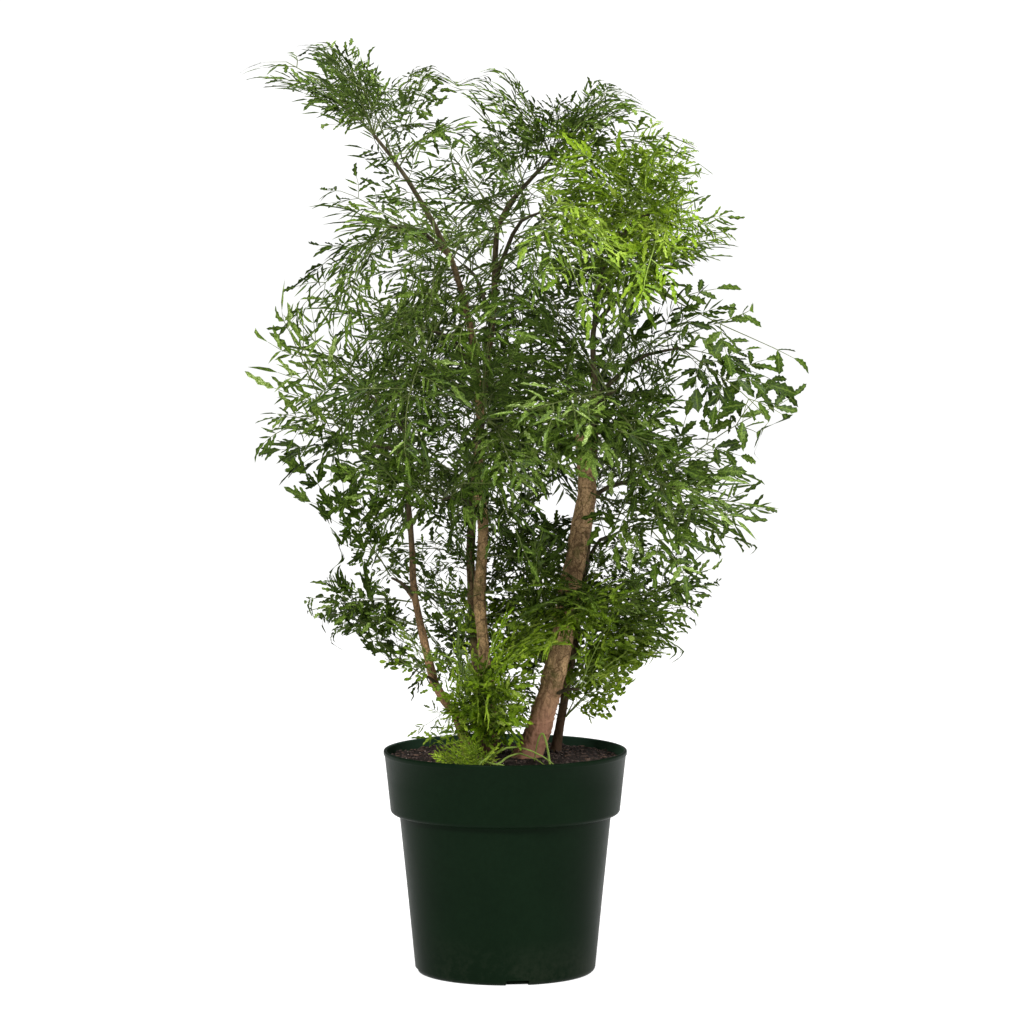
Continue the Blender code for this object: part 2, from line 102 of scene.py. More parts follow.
# ---------------------------------------------------------------- modelling helpers
def deselect_all():
    if bpy.context.mode != "OBJECT":
        bpy.ops.object.mode_set(mode="OBJECT")
    bpy.ops.object.select_all(action="DESELECT")


def choose(obj):
    """Makes obj the only selected object, and the active one."""
    deselect_all()
    obj.select_set(True)
    bpy.context.view_layer.objects.active = obj


def settle(obj):
    """Puts the object's place into its mesh."""
    choose(obj)
    bpy.ops.object.transform_apply(location=True, rotation=True, scale=True)


def tidy_surface(merge=0.00001):
    """In edit mode, merges doubles and turns every face outwards."""
    bpy.ops.mesh.select_all(action="SELECT")
    bpy.ops.mesh.remove_doubles(threshold=merge)
    bpy.ops.mesh.normals_make_consistent(inside=False)


def apply_modifier(obj, kind, name, **settings):
    choose(obj)
    modifier = obj.modifiers.new(name, kind)
    for key, value in settings.items():
        setattr(modifier, key, value)
    bpy.ops.object.modifier_apply(modifier=modifier.name)


def turned(name, profile, steps):
    """A solid of revolution: one point is extruded along the profile, and the line is spun about Z."""
    deselect_all()
    bpy.ops.mesh.primitive_plane_add(size=0.01)
    obj = bpy.context.object
    obj.name = name
    bpy.ops.object.mode_set(mode="EDIT")
    bpy.ops.mesh.merge(type="CENTER")
    at = Vector((profile[0][0], 0.0, profile[0][1]))
    bpy.ops.transform.translate(value=at)
    for radius, height in profile[1:]:
        to = Vector((radius, 0.0, height))
        bpy.ops.mesh.extrude_region_move(TRANSFORM_OT_translate={"value": to - at})
        at = to
    bpy.ops.mesh.select_all(action="SELECT")
    bpy.ops.mesh.spin(steps=steps, angle=math.tau, center=(0, 0, 0), axis=(0, 0, 1))
    tidy_surface()
    bpy.ops.object.mode_set(mode="OBJECT")
    return obj


def arc(centre, radius, start_deg, end_deg, steps):
    angles = np.radians(np.linspace(start_deg, end_deg, steps))
    return [(centre[0] + radius * math.cos(a), centre[1] + radius * math.sin(a)) for a in angles]


def wear(obj, material):
    obj.data.materials.clear()
    obj.data.materials.append(material)


def smooth(obj, angle_deg=None):
    choose(obj)
    if angle_deg is None:
        bpy.ops.object.shade_smooth()
    else:
        bpy.ops.object.shade_smooth_by_angle(angle=math.radians(angle_deg))


def cad_copy(node, name):
    """A merged copy of a CAD node, free to be reshaped."""
    deselect_all()
    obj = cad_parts[node].copy()
    obj.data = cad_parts[node].data.copy()
    obj.name = name
    obj.parent = None
    for key in list(obj.keys()):
        del obj[key]
    bpy.context.scene.collection.objects.link(obj)
    choose(obj)
    bpy.ops.object.mode_set(mode="EDIT")
    tidy_surface()
    bpy.ops.object.mode_set(mode="OBJECT")
    return obj


def soft_step(value, low, high):
    share = np.clip((value - low) / (high - low), 0.0, 1.0)
    return share * share * (3 - 2 * share)


def set_attribute(mesh, name, values, domain="POINT"):
    layer = mesh.attributes.get(name) or mesh.attributes.new(name, "FLOAT", domain)
    layer.data.foreach_set("value", np.asarray(values, np.float32))


# ---------------------------------------------------------------- material helpers
class Nodes:
    """A short way to add and join the nodes of one tree."""

    def __init__(self, tree):
        self.tree = tree

    def add(self, kind, inputs=None, **settings):
        node = self.tree.nodes.new(kind)
        for key, value in settings.items():
            setattr(node, key, value)
        for key, value in (inputs or {}).items():
            self.feed(node.inputs[key], value)
        return node

    def feed(self, socket, value):
        if isinstance(value, bpy.types.NodeSocket):
            self.tree.links.new(value, socket)
        else:
            socket.default_value = value

    def math(self, operation, a, b=0.0):
        return self.add("ShaderNodeMath", {0: a, 1: b}, operation=operation).outputs[0]

    def times(self, a, b):
        return self.math("MULTIPLY", a, b)

    def plus(self, a, b):
        return self.math("ADD", a, b)

    def minus(self, a, b):
        return self.math("SUBTRACT", a, b)

    def mix(self, share, a, b):
        node = self.add("ShaderNodeMix", data_type="RGBA")
        self.feed(node.inputs[0], share)
        self.feed(node.inputs[6], a)
        self.feed(node.inputs[7], b)
        return node.outputs[2]

    def ramp(self, share, stops):
        node = self.add("ShaderNodeValToRGB", {0: share})
        while len(node.color_ramp.elements) < len(stops):
            node.color_ramp.elements.new(0.5)
        for element, (place, colour) in zip(node.color_ramp.elements, stops):
            element.position = place
            element.color = colour if len(colour) == 4 else (*colour, 1.0)
        return node.outputs[0]

    def noise(self, vector, scale, detail=3.0, roughness=0.55):
        inputs = {"Vector": vector, "Scale": scale, "Detail": detail, "Roughness": roughness}
        return self.add("ShaderNodeTexNoise", inputs).outputs["Fac"]

    def stretched(self, vector, scale):
        return self.add("ShaderNodeMapping", {"Vector": vector, "Scale": scale}).outputs[0]

    def attribute(self, name):
        return self.add("ShaderNodeAttribute", attribute_name=name).outputs["Fac"]

    def map_range(self, value, low, high, to_low=0.0, to_high=1.0):
        inputs = {"Value": value, "From Min": low, "From Max": high, "To Min": to_low, "To Max": to_high}
        return self.add("ShaderNodeMapRange", inputs, clamp=True).outputs[0]


def grey(value):
    return (value, value, value, 1.0)


def new_material(name, **constants):
    """(material, its nodes, its Principled shader), with the constants set on the shader's own sockets."""
    material = bpy.data.materials.new(name)
    material.use_nodes = True
    nodes = Nodes(material.node_tree)
    shader = material.node_tree.nodes["Principled BSDF"]
    for key, value in constants.items():
        shader.inputs[key.replace("_", " ")].default_value = value
    return material, nodes, shader


def finish_shader(nodes, shader, colour, rough, relief, strength, distance):
    """Joins the colour, the roughness and a bump made from the relief to the shader."""
    bump = nodes.add("ShaderNodeBump", {"Strength": strength, "Distance": distance, "Height": relief})
    nodes.feed(shader.inputs["Base Color"], colour)
    nodes.feed(shader.inputs["Roughness"], rough)
    nodes.feed(shader.inputs["Normal"], bump.outputs[0])


def make_specks_group():
    """Fine light and dark mottling, shared by the pot and the mix."""
    tree = bpy.data.node_groups.new("mottling", "ShaderNodeTree")
    for name, way, kind in (
        ("Vector", "INPUT", "Vector"),
        ("Coarse", "INPUT", "Float"),
        ("Fine", "INPUT", "Float"),
        ("Mask", "OUTPUT", "Float"),
    ):
        tree.interface.new_socket(name, in_out=way, socket_type="NodeSocket" + kind)
    nodes = Nodes(tree)
    source = nodes.add("NodeGroupInput").outputs
    coarse = nodes.noise(source["Vector"], source["Coarse"], 4.0)
    fine = nodes.noise(source["Vector"], source["Fine"], 3.0, 0.7)
    nodes.add("NodeGroupOutput", {"Mask": nodes.plus(nodes.times(coarse, 0.6), nodes.times(fine, 0.4))})
    return tree


MOTTLING = make_specks_group()


def mottling(nodes, vector, coarse, fine):
    node = nodes.add("ShaderNodeGroup", node_tree=MOTTLING)
    nodes.feed(node.inputs["Vector"], vector)
    nodes.feed(node.inputs["Coarse"], coarse)
    nodes.feed(node.inputs["Fine"], fine)
    return node.outputs["Mask"]


# ---------------------------------------------------------------- materials
def pot_material():
    """Moulded dark green plastic: fine grain, faint upright scuffs, a little dust at the foot, and the
    collar's inner wall painted paler: painted light on a wall that lies in shade.
    """
    material, nodes, shader = new_material("moulded_green_plastic", Specular_IOR_Level=0.03)
    place = nodes.add("ShaderNodeTexCoord").outputs["Object"]
    mottle = mottling(nodes, place, 14.0, 160.0)
    scuffs = nodes.noise(nodes.stretched(place, (60.0, 60.0, 6.0)), 2.0, 5.0, 0.7)
    scuff_mask = nodes.map_range(scuffs, 0.60, 0.78)
    height = nodes.add("ShaderNodeSeparateXYZ", {0: place}).outputs["Z"]
    foot_dust = nodes.map_range(height, 0.0, 0.05, 1.0, 0.0)
    dust = nodes.times(foot_dust, nodes.map_range(mottle, 0.45, 0.62))
    green = nodes.ramp(mottle, [(0.30, (0.0020, 0.0068, 0.0024)), (0.70, (0.0036, 0.0104, 0.0042))])
    scuffed = nodes.mix(nodes.times(scuff_mask, 0.10), green, (0.012, 0.022, 0.013, 1.0))
    dusty = nodes.mix(nodes.times(dust, 0.05), scuffed, (0.16, 0.14, 0.11, 1.0))
    # The collar's inner wall (the "inside" attribute) is painted a paler teal: painted light on a wall that
    # lies in shade.
    colour = nodes.mix(nodes.attribute("inside"), dusty, (0.038, 0.078, 0.048, 1.0))
    rough = nodes.plus(nodes.map_range(mottle, 0.3, 0.7, 0.34, 0.46), nodes.times(scuff_mask, 0.12))
    grain = nodes.noise(place, 900.0, 2.0)
    finish_shader(nodes, shader, colour, rough, grain, 0.12, 0.0004)
    return material


def mix_material(name, dark, light, rough):
    """Damp composted bark and peat, each crumb with its own tone."""
    material, nodes, shader = new_material(name, Specular_IOR_Level=0.20)
    place = nodes.add("ShaderNodeTexCoord").outputs["Object"]
    mottle = mottling(nodes, place, 90.0, 700.0)
    tone = nodes.plus(nodes.times(nodes.attribute("tone"), 0.6), nodes.times(mottle, 0.4))
    colour = nodes.ramp(tone, [(0.10, dark), (0.62, light), (1.0, tuple(2.0 * c for c in light))])
    crumb_rough = nodes.map_range(mottle, 0.3, 0.7, rough - 0.12, rough + 0.08)
    finish_shader(nodes, shader, colour, crumb_rough, mottle, 0.5, 0.0008)
    return material


def bark_material(name, light, dark, red):
    """Tan bark with dark cracks, pores and a little moss on the thick wood, green-brown on the shoots."""
    material, nodes, shader = new_material(name, Specular_IOR_Level=0.15)
    place = nodes.add("ShaderNodeTexCoord").outputs["Object"]
    fibres = nodes.noise(nodes.stretched(place, (1.0, 1.0, 0.45)), 230.0, 6.0, 0.72)
    patches = nodes.noise(place, 42.0, 4.0, 0.6)
    speckle = nodes.noise(place, 620.0, 3.0, 0.7)
    longer = nodes.stretched(place, (1.0, 1.0, 1.7))
    pores = nodes.add("ShaderNodeTexVoronoi", {"Vector": longer, "Scale": 340.0})
    pore_mask = nodes.map_range(pores.outputs["Distance"], 0.08, 0.24, 1.0, 0.0)
    tone = nodes.plus(nodes.times(fibres, 0.5), nodes.times(patches, 0.5))
    pale = tuple(min(1.0, 1.7 * c) for c in light)
    wood = nodes.ramp(tone, [(0.38, dark), (0.47, light), (0.58, pale)])
    shift = nodes.add("ShaderNodeTexNoise", {"Vector": place, "Scale": 60.0, "Detail": 3.0}).outputs["Color"]
    bent = nodes.add("ShaderNodeVectorMath", {0: shift, "Scale": 0.022}, operation="SCALE").outputs[0]
    moved = nodes.add("ShaderNodeVectorMath", {0: place, 1: bent}, operation="ADD").outputs[0]
    flat = nodes.stretched(moved, (1.0, 1.0, 0.55))
    rims = nodes.add("ShaderNodeTexVoronoi", {"Vector": flat, "Scale": 95.0}, feature="DISTANCE_TO_EDGE")
    cells = nodes.add("ShaderNodeTexVoronoi", {"Vector": flat, "Scale": 95.0}).outputs["Color"]
    cell_tone = nodes.add("ShaderNodeSeparateColor", {0: cells}).outputs[0]
    peeled = nodes.mix(nodes.map_range(cell_tone, 0.50, 0.72, 0.0, 0.60), wood, (*pale, 1.0))
    rim_mask = nodes.map_range(rims.outputs["Distance"], 0.01, 0.07, 0.70, 0.0)
    edged = nodes.mix(rim_mask, peeled, (*(0.6 * c for c in dark), 1.0))
    dots = nodes.map_range(speckle, 0.50, 0.62, 0.0, 0.70)
    dotted = nodes.mix(dots, edged, (*(0.7 * c for c in dark), 1.0))
    flaked = nodes.mix(nodes.map_range(nodes.attribute("plate"), 0.0, 1.0, 0.30, 0.0), dotted, (*dark, 1.0))
    cracked = nodes.mix(nodes.times(nodes.attribute("crack"), 0.35), flaked, (*dark, 1.0))
    pored = nodes.mix(nodes.times(pore_mask, 0.35), cracked, (*pale, 1.0))
    moss = nodes.map_range(nodes.noise(place, 48.0, 5.0, 0.65), 0.55, 0.64, 0.0, 0.55)
    mossed = nodes.mix(moss, pored, (0.050, 0.062, 0.010, 1.0))
    height = nodes.add("ShaderNodeSeparateXYZ", {0: place}).outputs["Z"]
    foot = nodes.map_range(height, MIX_HIGH.z + 0.030, MIX_HIGH.z + 0.085, 0.90, 0.0)
    old = nodes.mix(nodes.times(foot, nodes.map_range(tone, 0.34, 0.50, 0.4, 1.0)), mossed, (*red, 1.0))
    young = nodes.ramp(fibres, [(0.35, (0.016, 0.013, 0.007)), (0.65, (0.072, 0.060, 0.030))])
    relief = nodes.plus(nodes.times(fibres, 0.7), nodes.times(pore_mask, 0.3))
    colour = nodes.mix(nodes.attribute("age"), young, old)
    rough = nodes.map_range(fibres, 0.3, 0.7, 0.92, 0.70)
    finish_shader(nodes, shader, colour, rough, relief, 0.7, 0.0012)
    return material


def leaf_material():
    """Leaf blades: each its own green, with a paler midrib, faint side veins, fine flecks that are partly
    mottling and partly painted glints and painted shade, and a matt, paler underside.
    """
    material, nodes, shader = new_material("leaf_blade", Specular_IOR_Level=0.07)
    place = nodes.add("ShaderNodeTexCoord").outputs["Object"]
    blade = nodes.add("ShaderNodeUVMap", uv_map="blade").outputs[0]
    along_across = nodes.add("ShaderNodeSeparateXYZ", {0: blade})
    along, across = along_across.outputs["X"], along_across.outputs["Y"]
    off_centre = nodes.math("ABSOLUTE", nodes.minus(across, 0.5))
    midrib = nodes.map_range(off_centre, 0.03, 0.11, 1.0, 0.0)
    chevrons = nodes.math("SINE", nodes.times(nodes.minus(along, off_centre), 60.0))
    vein = nodes.map_range(chevrons, 0.55, 1.0)
    blotch = nodes.map_range(nodes.noise(place, 130.0, 3.0), 0.32, 0.68)
    # Fine bright and dark flecks: partly the blades' own mottling, partly painted glints and painted shade
    # standing in for light on the leaflets.
    fleck_with_painted_glints = nodes.map_range(nodes.noise(place, 640.0, 2.0), 0.38, 0.62)
    tone, youth, under = nodes.attribute("tone"), nodes.attribute("youth"), nodes.attribute("under")
    mottle_and_painted_glints = nodes.plus(nodes.times(blotch, 0.16), nodes.times(fleck_with_painted_glints, 0.32))
    shade = nodes.plus(nodes.times(tone, 0.56), mottle_and_painted_glints)
    mature = nodes.ramp(
        shade,
        [
            (0.16, (0.0040, 0.0100, 0.0005)),
            (0.38, (0.0140, 0.0310, 0.0015)),
            (0.58, (0.0420, 0.0760, 0.0050)),
            (0.78, (0.1200, 0.1780, 0.0320)),
            (0.95, (0.2900, 0.3600, 0.1500)),
        ],
    )
    fresh = nodes.ramp(
        shade,
        [
            (0.20, (0.0400, 0.0850, 0.0015)),
            (0.48, (0.1600, 0.2650, 0.0050)),
            (0.82, (0.3500, 0.4500, 0.0450)),
        ],
    )
    green = nodes.mix(youth, mature, fresh)
    ribbed = nodes.mix(nodes.times(midrib, 0.22), green, (0.200, 0.280, 0.050, 1.0))
    veined = nodes.mix(nodes.times(vein, 0.10), ribbed, (0.160, 0.230, 0.040, 1.0))
    bladed = nodes.mix(nodes.times(under, 0.15), veined, (0.090, 0.140, 0.030, 1.0))
    stem = nodes.mix(youth, (0.075, 0.095, 0.028, 1.0), (0.230, 0.330, 0.060, 1.0))
    colour = nodes.mix(nodes.attribute("stalk"), bladed, stem)
    relief = nodes.minus(nodes.times(vein, 0.3), midrib)
    rough = nodes.plus(nodes.map_range(blotch, 0.3, 0.7, 0.36, 0.48), nodes.times(under, 0.2))
    finish_shader(nodes, shader, colour, rough, relief, 0.35, 0.0003)
    return material


def floor_material():
    """Pale studio paper, evenly bright out to the horizon."""
    material, nodes, shader = new_material("pale_floor", Roughness=0.7, Specular_IOR_Level=0.1)
    place = nodes.add("ShaderNodeTexCoord").outputs["Object"]
    tone = nodes.noise(place, 3.0, 2.0)
    nodes.feed(shader.inputs["Base Color"], nodes.ramp(tone, [(0.3, grey(0.28)), (0.7, grey(0.31))]))
    shader.inputs["Emission Color"].default_value = grey(1.0)
    shader.inputs["Emission Strength"].default_value = 0.93
    return material


# ---------------------------------------------------------------- pot
def model_pot():
    """The moulded pot: rounded lip, tapering collar with a rounded foot, tapering body and flat base."""
    lip, corner, round_over = 0.0016, 0.0070, 0.0048
    outer = [
        *arc((RIM_RADIUS - lip, POT_HEIGHT - lip), lip, 90, 0, 7),
        (RIM_RADIUS, POT_HEIGHT - 0.0042),
        (RIM_RADIUS - 0.0005, POT_HEIGHT - 0.0052),
        (RIM_RADIUS - 0.0011, POT_HEIGHT - 0.0058),
        ((RIM_RADIUS + COLLAR_FOOT_RADIUS) / 2 - 0.0006, (POT_HEIGHT + COLLAR_FOOT_Z) / 2),
        *arc((COLLAR_FOOT_RADIUS - round_over, COLLAR_FOOT_Z + round_over), round_over, 4, -86, 9),
        (BODY_TOP_RADIUS + 0.0022, COLLAR_FOOT_Z - 0.0002),
        (BODY_TOP_RADIUS + 0.0006, COLLAR_FOOT_Z - 0.0012),
        (BODY_TOP_RADIUS - 0.0001, COLLAR_FOOT_Z - 0.0040),
        ((BODY_TOP_RADIUS + BODY_FOOT_RADIUS) / 2, (COLLAR_FOOT_Z + corner) / 2),
        *arc((BODY_FOOT_RADIUS - corner, corner), corner, 2, -90, 11),
    ]
    inner = [
        *arc((BODY_FOOT_RADIUS - corner, corner), corner - WALL, -90, 2, 6),
        (BODY_TOP_RADIUS - WALL, COLLAR_FOOT_Z - WALL),
        (COLLAR_FOOT_RADIUS - WALL - 0.001, COLLAR_FOOT_Z + 0.004),
        (RIM_RADIUS - 2 * lip, POT_HEIGHT - 0.006),
        (RIM_RADIUS - 2 * lip, POT_HEIGHT - lip),
        *arc((RIM_RADIUS - lip, POT_HEIGHT - lip), lip, 170, 110, 4),
    ]
    pot = turned("nursery_pot", [(0.0, WALL), *inner, *outer, (0.0, 0.0)], POT_STEPS)
    for i in range(NOTCH_COUNT):
        angle = math.radians(-90 + NOTCH_LEAD_DEG) + i * math.tau / NOTCH_COUNT
        deselect_all()
        bpy.ops.mesh.primitive_cube_add(size=1.0)
        cutter = bpy.context.object
        cutter.scale = (2 * NOTCH_REACH, NOTCH_WIDTH, 2 * NOTCH_HEIGHT)
        cutter.rotation_euler.z = angle
        cutter.location = (BODY_FOOT_RADIUS * math.cos(angle), BODY_FOOT_RADIUS * math.sin(angle), 0.0)
        settle(cutter)
        apply_modifier(cutter, "BEVEL", "soft corners", width=0.0012, segments=3)
        apply_modifier(pot, "BOOLEAN", "drain notch", object=cutter, operation="DIFFERENCE", solver="EXACT")
        bpy.data.objects.remove(cutter)
    smooth(pot, 40)
    # Marks the collar's inner wall, which the pot's material paints paler: painted light on a wall that lies
    # in shade.
    points = mesh_arrays(pot)[0]
    share = (points[:, 2] - COLLAR_FOOT_Z) / (POT_HEIGHT - COLLAR_FOOT_Z)
    outside = COLLAR_FOOT_RADIUS + (RIM_RADIUS - COLLAR_FOOT_RADIUS) * share
    inside = (share > 0.1) & (np.hypot(points[:, 0], points[:, 1]) < outside - 0.0022)
    set_attribute(pot.data, "inside", inside)
    wear(pot, pot_material())
    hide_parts("pot")
    return pot


# ---------------------------------------------------------------- potting mix
def mix_height(x, y):
    """The height of the potting mix: mounded in the middle, lumpy, and heaped a little at the canes."""
    out = min(math.hypot(x, y) / MIX_RADIUS, 1.0)
    mound = MIX_MOUND * math.cos(math.pi / 2 * out) ** 2
    lumps = 0.0022 * noise.fractal(Vector((x, y, 0.3)) * 38.0, 1.0, 2.0, 3)
    grit = 0.0009 * noise.fractal(Vector((x, y, 1.7)) * 210.0, 1.0, 2.0, 2)
    heap = 0.0040 * math.exp(-(((x - 0.018) / 0.035) ** 2) - ((y + 0.025) / 0.035) ** 2)
    settled = 0.0014 * max(0.0, out - 0.86) / 0.14
    return MIX_EDGE_Z + mound + lumps + grit + heap - settled


def model_mix():
    """The mix as one body, with a lumpy top, and its loose crumbs, bark chips and pale specks on it."""
    rings = [(MIX_RADIUS * share, MIX_EDGE_Z) for share in np.linspace(0, 1, 46)]
    inside = WALL + 0.0008
    under = [
        (COLLAR_FOOT_RADIUS - inside - 0.001, COLLAR_FOOT_Z + 0.005),
        (BODY_TOP_RADIUS - inside, COLLAR_FOOT_Z - 0.004),
        (BODY_FOOT_RADIUS - inside, 0.012),
        (BODY_FOOT_RADIUS - 0.010, 0.004),
        (0.0, 0.003),
    ]
    body = turned("potting_mix_body", [*rings, *under], 160)
    for vertex in body.data.vertices:
        if vertex.co.z > MIX_EDGE_Z - 0.0005:
            vertex.co.z = mix_height(vertex.co.x, vertex.co.y)
    smooth(body)
    rng = np.random.default_rng(11)
    set_attribute(body.data, "tone", np.full(len(body.data.vertices), 0.25))
    wear(body, mix_material("damp_mix", (0.0060, 0.0042, 0.0036), (0.030, 0.020, 0.016), 0.86))
    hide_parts("potting_mix")
    crumbs = [model_crumb(rng, (1.0, 0.85, 0.65)) for _ in range(5)]
    chips = [model_crumb(rng, (1.0, 0.34, 0.20)) for _ in range(3)]
    loose = scatter("loose_crumbs", crumbs, rng, 3000, (0.0012, 0.0046))
    wear(loose, mix_material("loose_crumb", (0.0060, 0.0042, 0.0038), (0.062, 0.044, 0.038), 0.88))
    bark = scatter("bark_chips", chips, rng, 420, (0.0030, 0.0090))
    wear(bark, mix_material("bark_chip", (0.014, 0.008, 0.006), (0.120, 0.075, 0.055), 0.82))
    pale = scatter("pale_grit", crumbs, rng, 170, (0.0009, 0.0022))
    wear(pale, mix_material("pale_grit", (0.20, 0.16, 0.14), (0.42, 0.34, 0.30), 0.80))
    for model in crumbs + chips:
        bpy.data.objects.remove(model)
    return [body, loose, bark, pale]


def model_crumb(rng, shape):
    """One irregular lump, a unit across."""
    deselect_all()
    bpy.ops.mesh.primitive_ico_sphere_add(subdivisions=1, radius=0.5)
    crumb = bpy.context.object
    bpy.ops.object.mode_set(mode="EDIT")
    bpy.ops.transform.resize(value=shape)
    bpy.ops.object.mode_set(mode="OBJECT")
    for vertex in crumb.data.vertices:
        vertex.co *= rng.uniform(0.72, 1.25)
    return crumb


def mesh_arrays(obj):
    """(points, corner vertex numbers, face sizes) of an object's mesh."""
    mesh = obj.data
    points = np.empty(len(mesh.vertices) * 3, np.float64)
    mesh.vertices.foreach_get("co", points)
    corners = np.empty(len(mesh.loops), np.int32)
    mesh.loops.foreach_get("vertex_index", corners)
    sizes = np.empty(len(mesh.polygons), np.int32)
    mesh.polygons.foreach_get("loop_total", sizes)
    return points.reshape(-1, 3), corners, sizes


def mesh_from(name, points, corners, sizes):
    """A mesh object from arrays of points, corner vertex numbers and face sizes."""
    mesh = bpy.data.meshes.new(name)
    mesh.vertices.add(len(points))
    mesh.vertices.foreach_set("co", np.asarray(points, np.float32).ravel())
    mesh.loops.add(len(corners))
    mesh.loops.foreach_set("vertex_index", np.asarray(corners, np.int32))
    mesh.polygons.add(len(sizes))
    starts = np.concatenate([[0], np.cumsum(sizes)[:-1]])
    mesh.polygons.foreach_set("loop_start", starts.astype(np.int32))
    mesh.update(calc_edges=True)
    obj = bpy.data.objects.new(name, mesh)
    bpy.context.scene.collection.objects.link(obj)
    return obj


def scatter(name, models, rng, count, size_range):
    """Copies of the lumps, laid on the potting mix as one piece."""
    arrays = [mesh_arrays(model) for model in models]
    feet = cane_feet()
    all_points, all_corners, all_sizes, tones = [], [], [], []
    total = 0
    while len(all_points) < count:
        out, turn = MIX_RADIUS * 0.985 * math.sqrt(rng.uniform()), rng.uniform(0, math.tau)
        x, y = out * math.cos(turn), out * math.sin(turn)
        size = size_range[0] + (size_range[1] - size_range[0]) * rng.uniform() ** 2.2
        if out + size / 2 > MIX_RADIUS or any(math.hypot(x - fx, y - fy) < fr for fx, fy, fr in feet):
            continue
        points, corners, sizes = arrays[rng.integers(len(arrays))]
        lie = Matrix.Rotation(rng.uniform(0, math.tau), 3, "Z") @ Matrix.Rotation(rng.normal(0, 0.35), 3, "X")
        place = points @ np.array(lie).T * size + (x, y, mix_height(x, y) + 0.18 * size)
        all_points.append(place)
        all_corners.append(corners + total)
        all_sizes.append(sizes)
        tones.append(np.full(len(points), rng.uniform()))
        total += len(points)
    obj = mesh_from(name, np.vstack(all_points), np.concatenate(all_corners), np.concatenate(all_sizes))
    set_attribute(obj.data, "tone", np.concatenate(tones))
    return obj


def cane_feet():
    """(x, y, radius) of each cane where it leaves the potting mix."""
    feet = []
    for cane in CANES:
        points = np.array([v.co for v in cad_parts[cane].data.vertices])
        foot = points[points[:, 2] < MIX_LOW.z + 0.16]
        middle = (foot.min(0) + foot.max(0)) / 2
        feet.append((middle[0], middle[1], (foot.max(0) - foot.min(0))[0] / 2))
    return feet


# ---------------------------------------------------------------- canes
def value_noise(points, scale, seed):
    """Smooth noise from 0 to 1 at each point; scale is in waves a metre, one number or one for each axis."""
    at = np.asarray(points) * scale + 500.0
    cell = np.floor(at).astype(np.int64)
    part = at - cell
    part = part * part * (3 - 2 * part)
    total = np.zeros(len(at))
    for corner in itertools.product((0, 1), repeat=3):
        near = cell + corner
        mixed = near[:, 0] * 73856093 ^ near[:, 1] * 19349663 ^ near[:, 2] * 83492791 ^ (seed + 1) * 2654435
        mixed = (mixed ^ (mixed >> 13)) * 1274126177
        value = ((mixed ^ (mixed >> 16)) & 0xFFFF) / 65535
        total += value * np.prod(np.where(corner, part, 1 - part), axis=1)
    return total


def layered_noise(points, scale, seed, layers=3):
    scale = np.asarray(scale, float)
    found = [value_noise(points, scale * 2**i, seed + i) / 2**i for i in range(layers)]
    return sum(found) / sum(0.5**i for i in range(layers))


def cane_thickness(points, normals, faces):
    """How thick the wood is under each point, straight through."""
    tree = BVHTree.FromPolygons(points.tolist(), faces)
    found = np.empty(len(points))
    for i, (point, normal) in enumerate(zip(points, normals)):
        inwards = Vector(-normal)
        hit = tree.ray_cast(Vector(point) + inwards * 0.00005, inwards, 0.05)
        found[i] = hit[3] if hit[0] else 0.004
    return found


def model_cane(name, material):
    """The cane and its shoots, grown together, with cracked and scarred bark modelled into the surface."""
    cane = cad_copy(name, f"{name}_bark")
    apply_modifier(
        cane, "REMESH", "grown together", mode="VOXEL", voxel_size=BARK_VOXEL, use_smooth_shade=True
    )
    apply_modifier(cane, "SMOOTH", "softened", factor=0.5, iterations=3)
    points, corners, sizes = mesh_arrays(cane)
    starts = np.concatenate([[0], np.cumsum(sizes)])
    faces = [corners[a:b].tolist() for a, b in zip(starts[:-1], starts[1:])]
    normals = np.empty(len(points) * 3)
    cane.data.vertices.foreach_get("normal", normals)
    normals = normals.reshape(-1, 3)
    thickness = cane_thickness(points, normals, faces)
    age = soft_step(thickness, 0.0040, 0.0090)
    seed = 10 * CANES.index(name)
    crack = 1 - np.abs(2 * layered_noise(points, (260, 260, 60), seed, 3) - 1)
    plates = soft_step(layered_noise(points, (75, 75, 34), seed + 1, 3), 0.47, 0.55)
    knuckle = value_noise(points, (30, 30, 42), seed + 2) - 0.5
    wander = 0.030 * layered_noise(points, (30, 30, 22), seed + 3, 3)
    ring = np.sin((points[:, 2] + wander) * math.tau / 0.0135)
    scars = soft_step(ring, 0.70, 0.98) * soft_step(value_noise(points, (40, 40, 30), seed + 4), 0.52, 0.70)
    depth = np.minimum(thickness * 0.055, 0.0012) * (0.25 + 0.75 * age)
    grain = layered_noise(points, (420, 420, 300), seed + 6, 2) - 0.5
    swell = depth * (
        0.8 * plates - 0.5 * soft_step(crack, 0.86, 0.99) + 0.6 * scars + 2.0 * knuckle + 0.5 * grain
    )
    above = np.maximum(0.0, points[:, 2] - MIX_HIGH.z)
    turn_about = value_noise(points, (55, 55, 20), seed + 5)
    flare = np.minimum(0.26 * thickness * np.exp(-above / 0.013) * (0.3 + 1.2 * turn_about), 0.0060)
    keep = 0.00025 * (1 - age)
    moved = points + normals * (swell + flare + keep)[:, None]
    cane.data.vertices.foreach_set("co", moved.astype(np.float32).ravel())
    cane.data.update()
    set_attribute(cane.data, "age", age)
    set_attribute(cane.data, "crack", soft_step(crack, 0.86, 0.99))
    set_attribute(cane.data, "plate", plates)
    smooth(cane)
    wear(cane, material)
    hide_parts(name)
    return cane


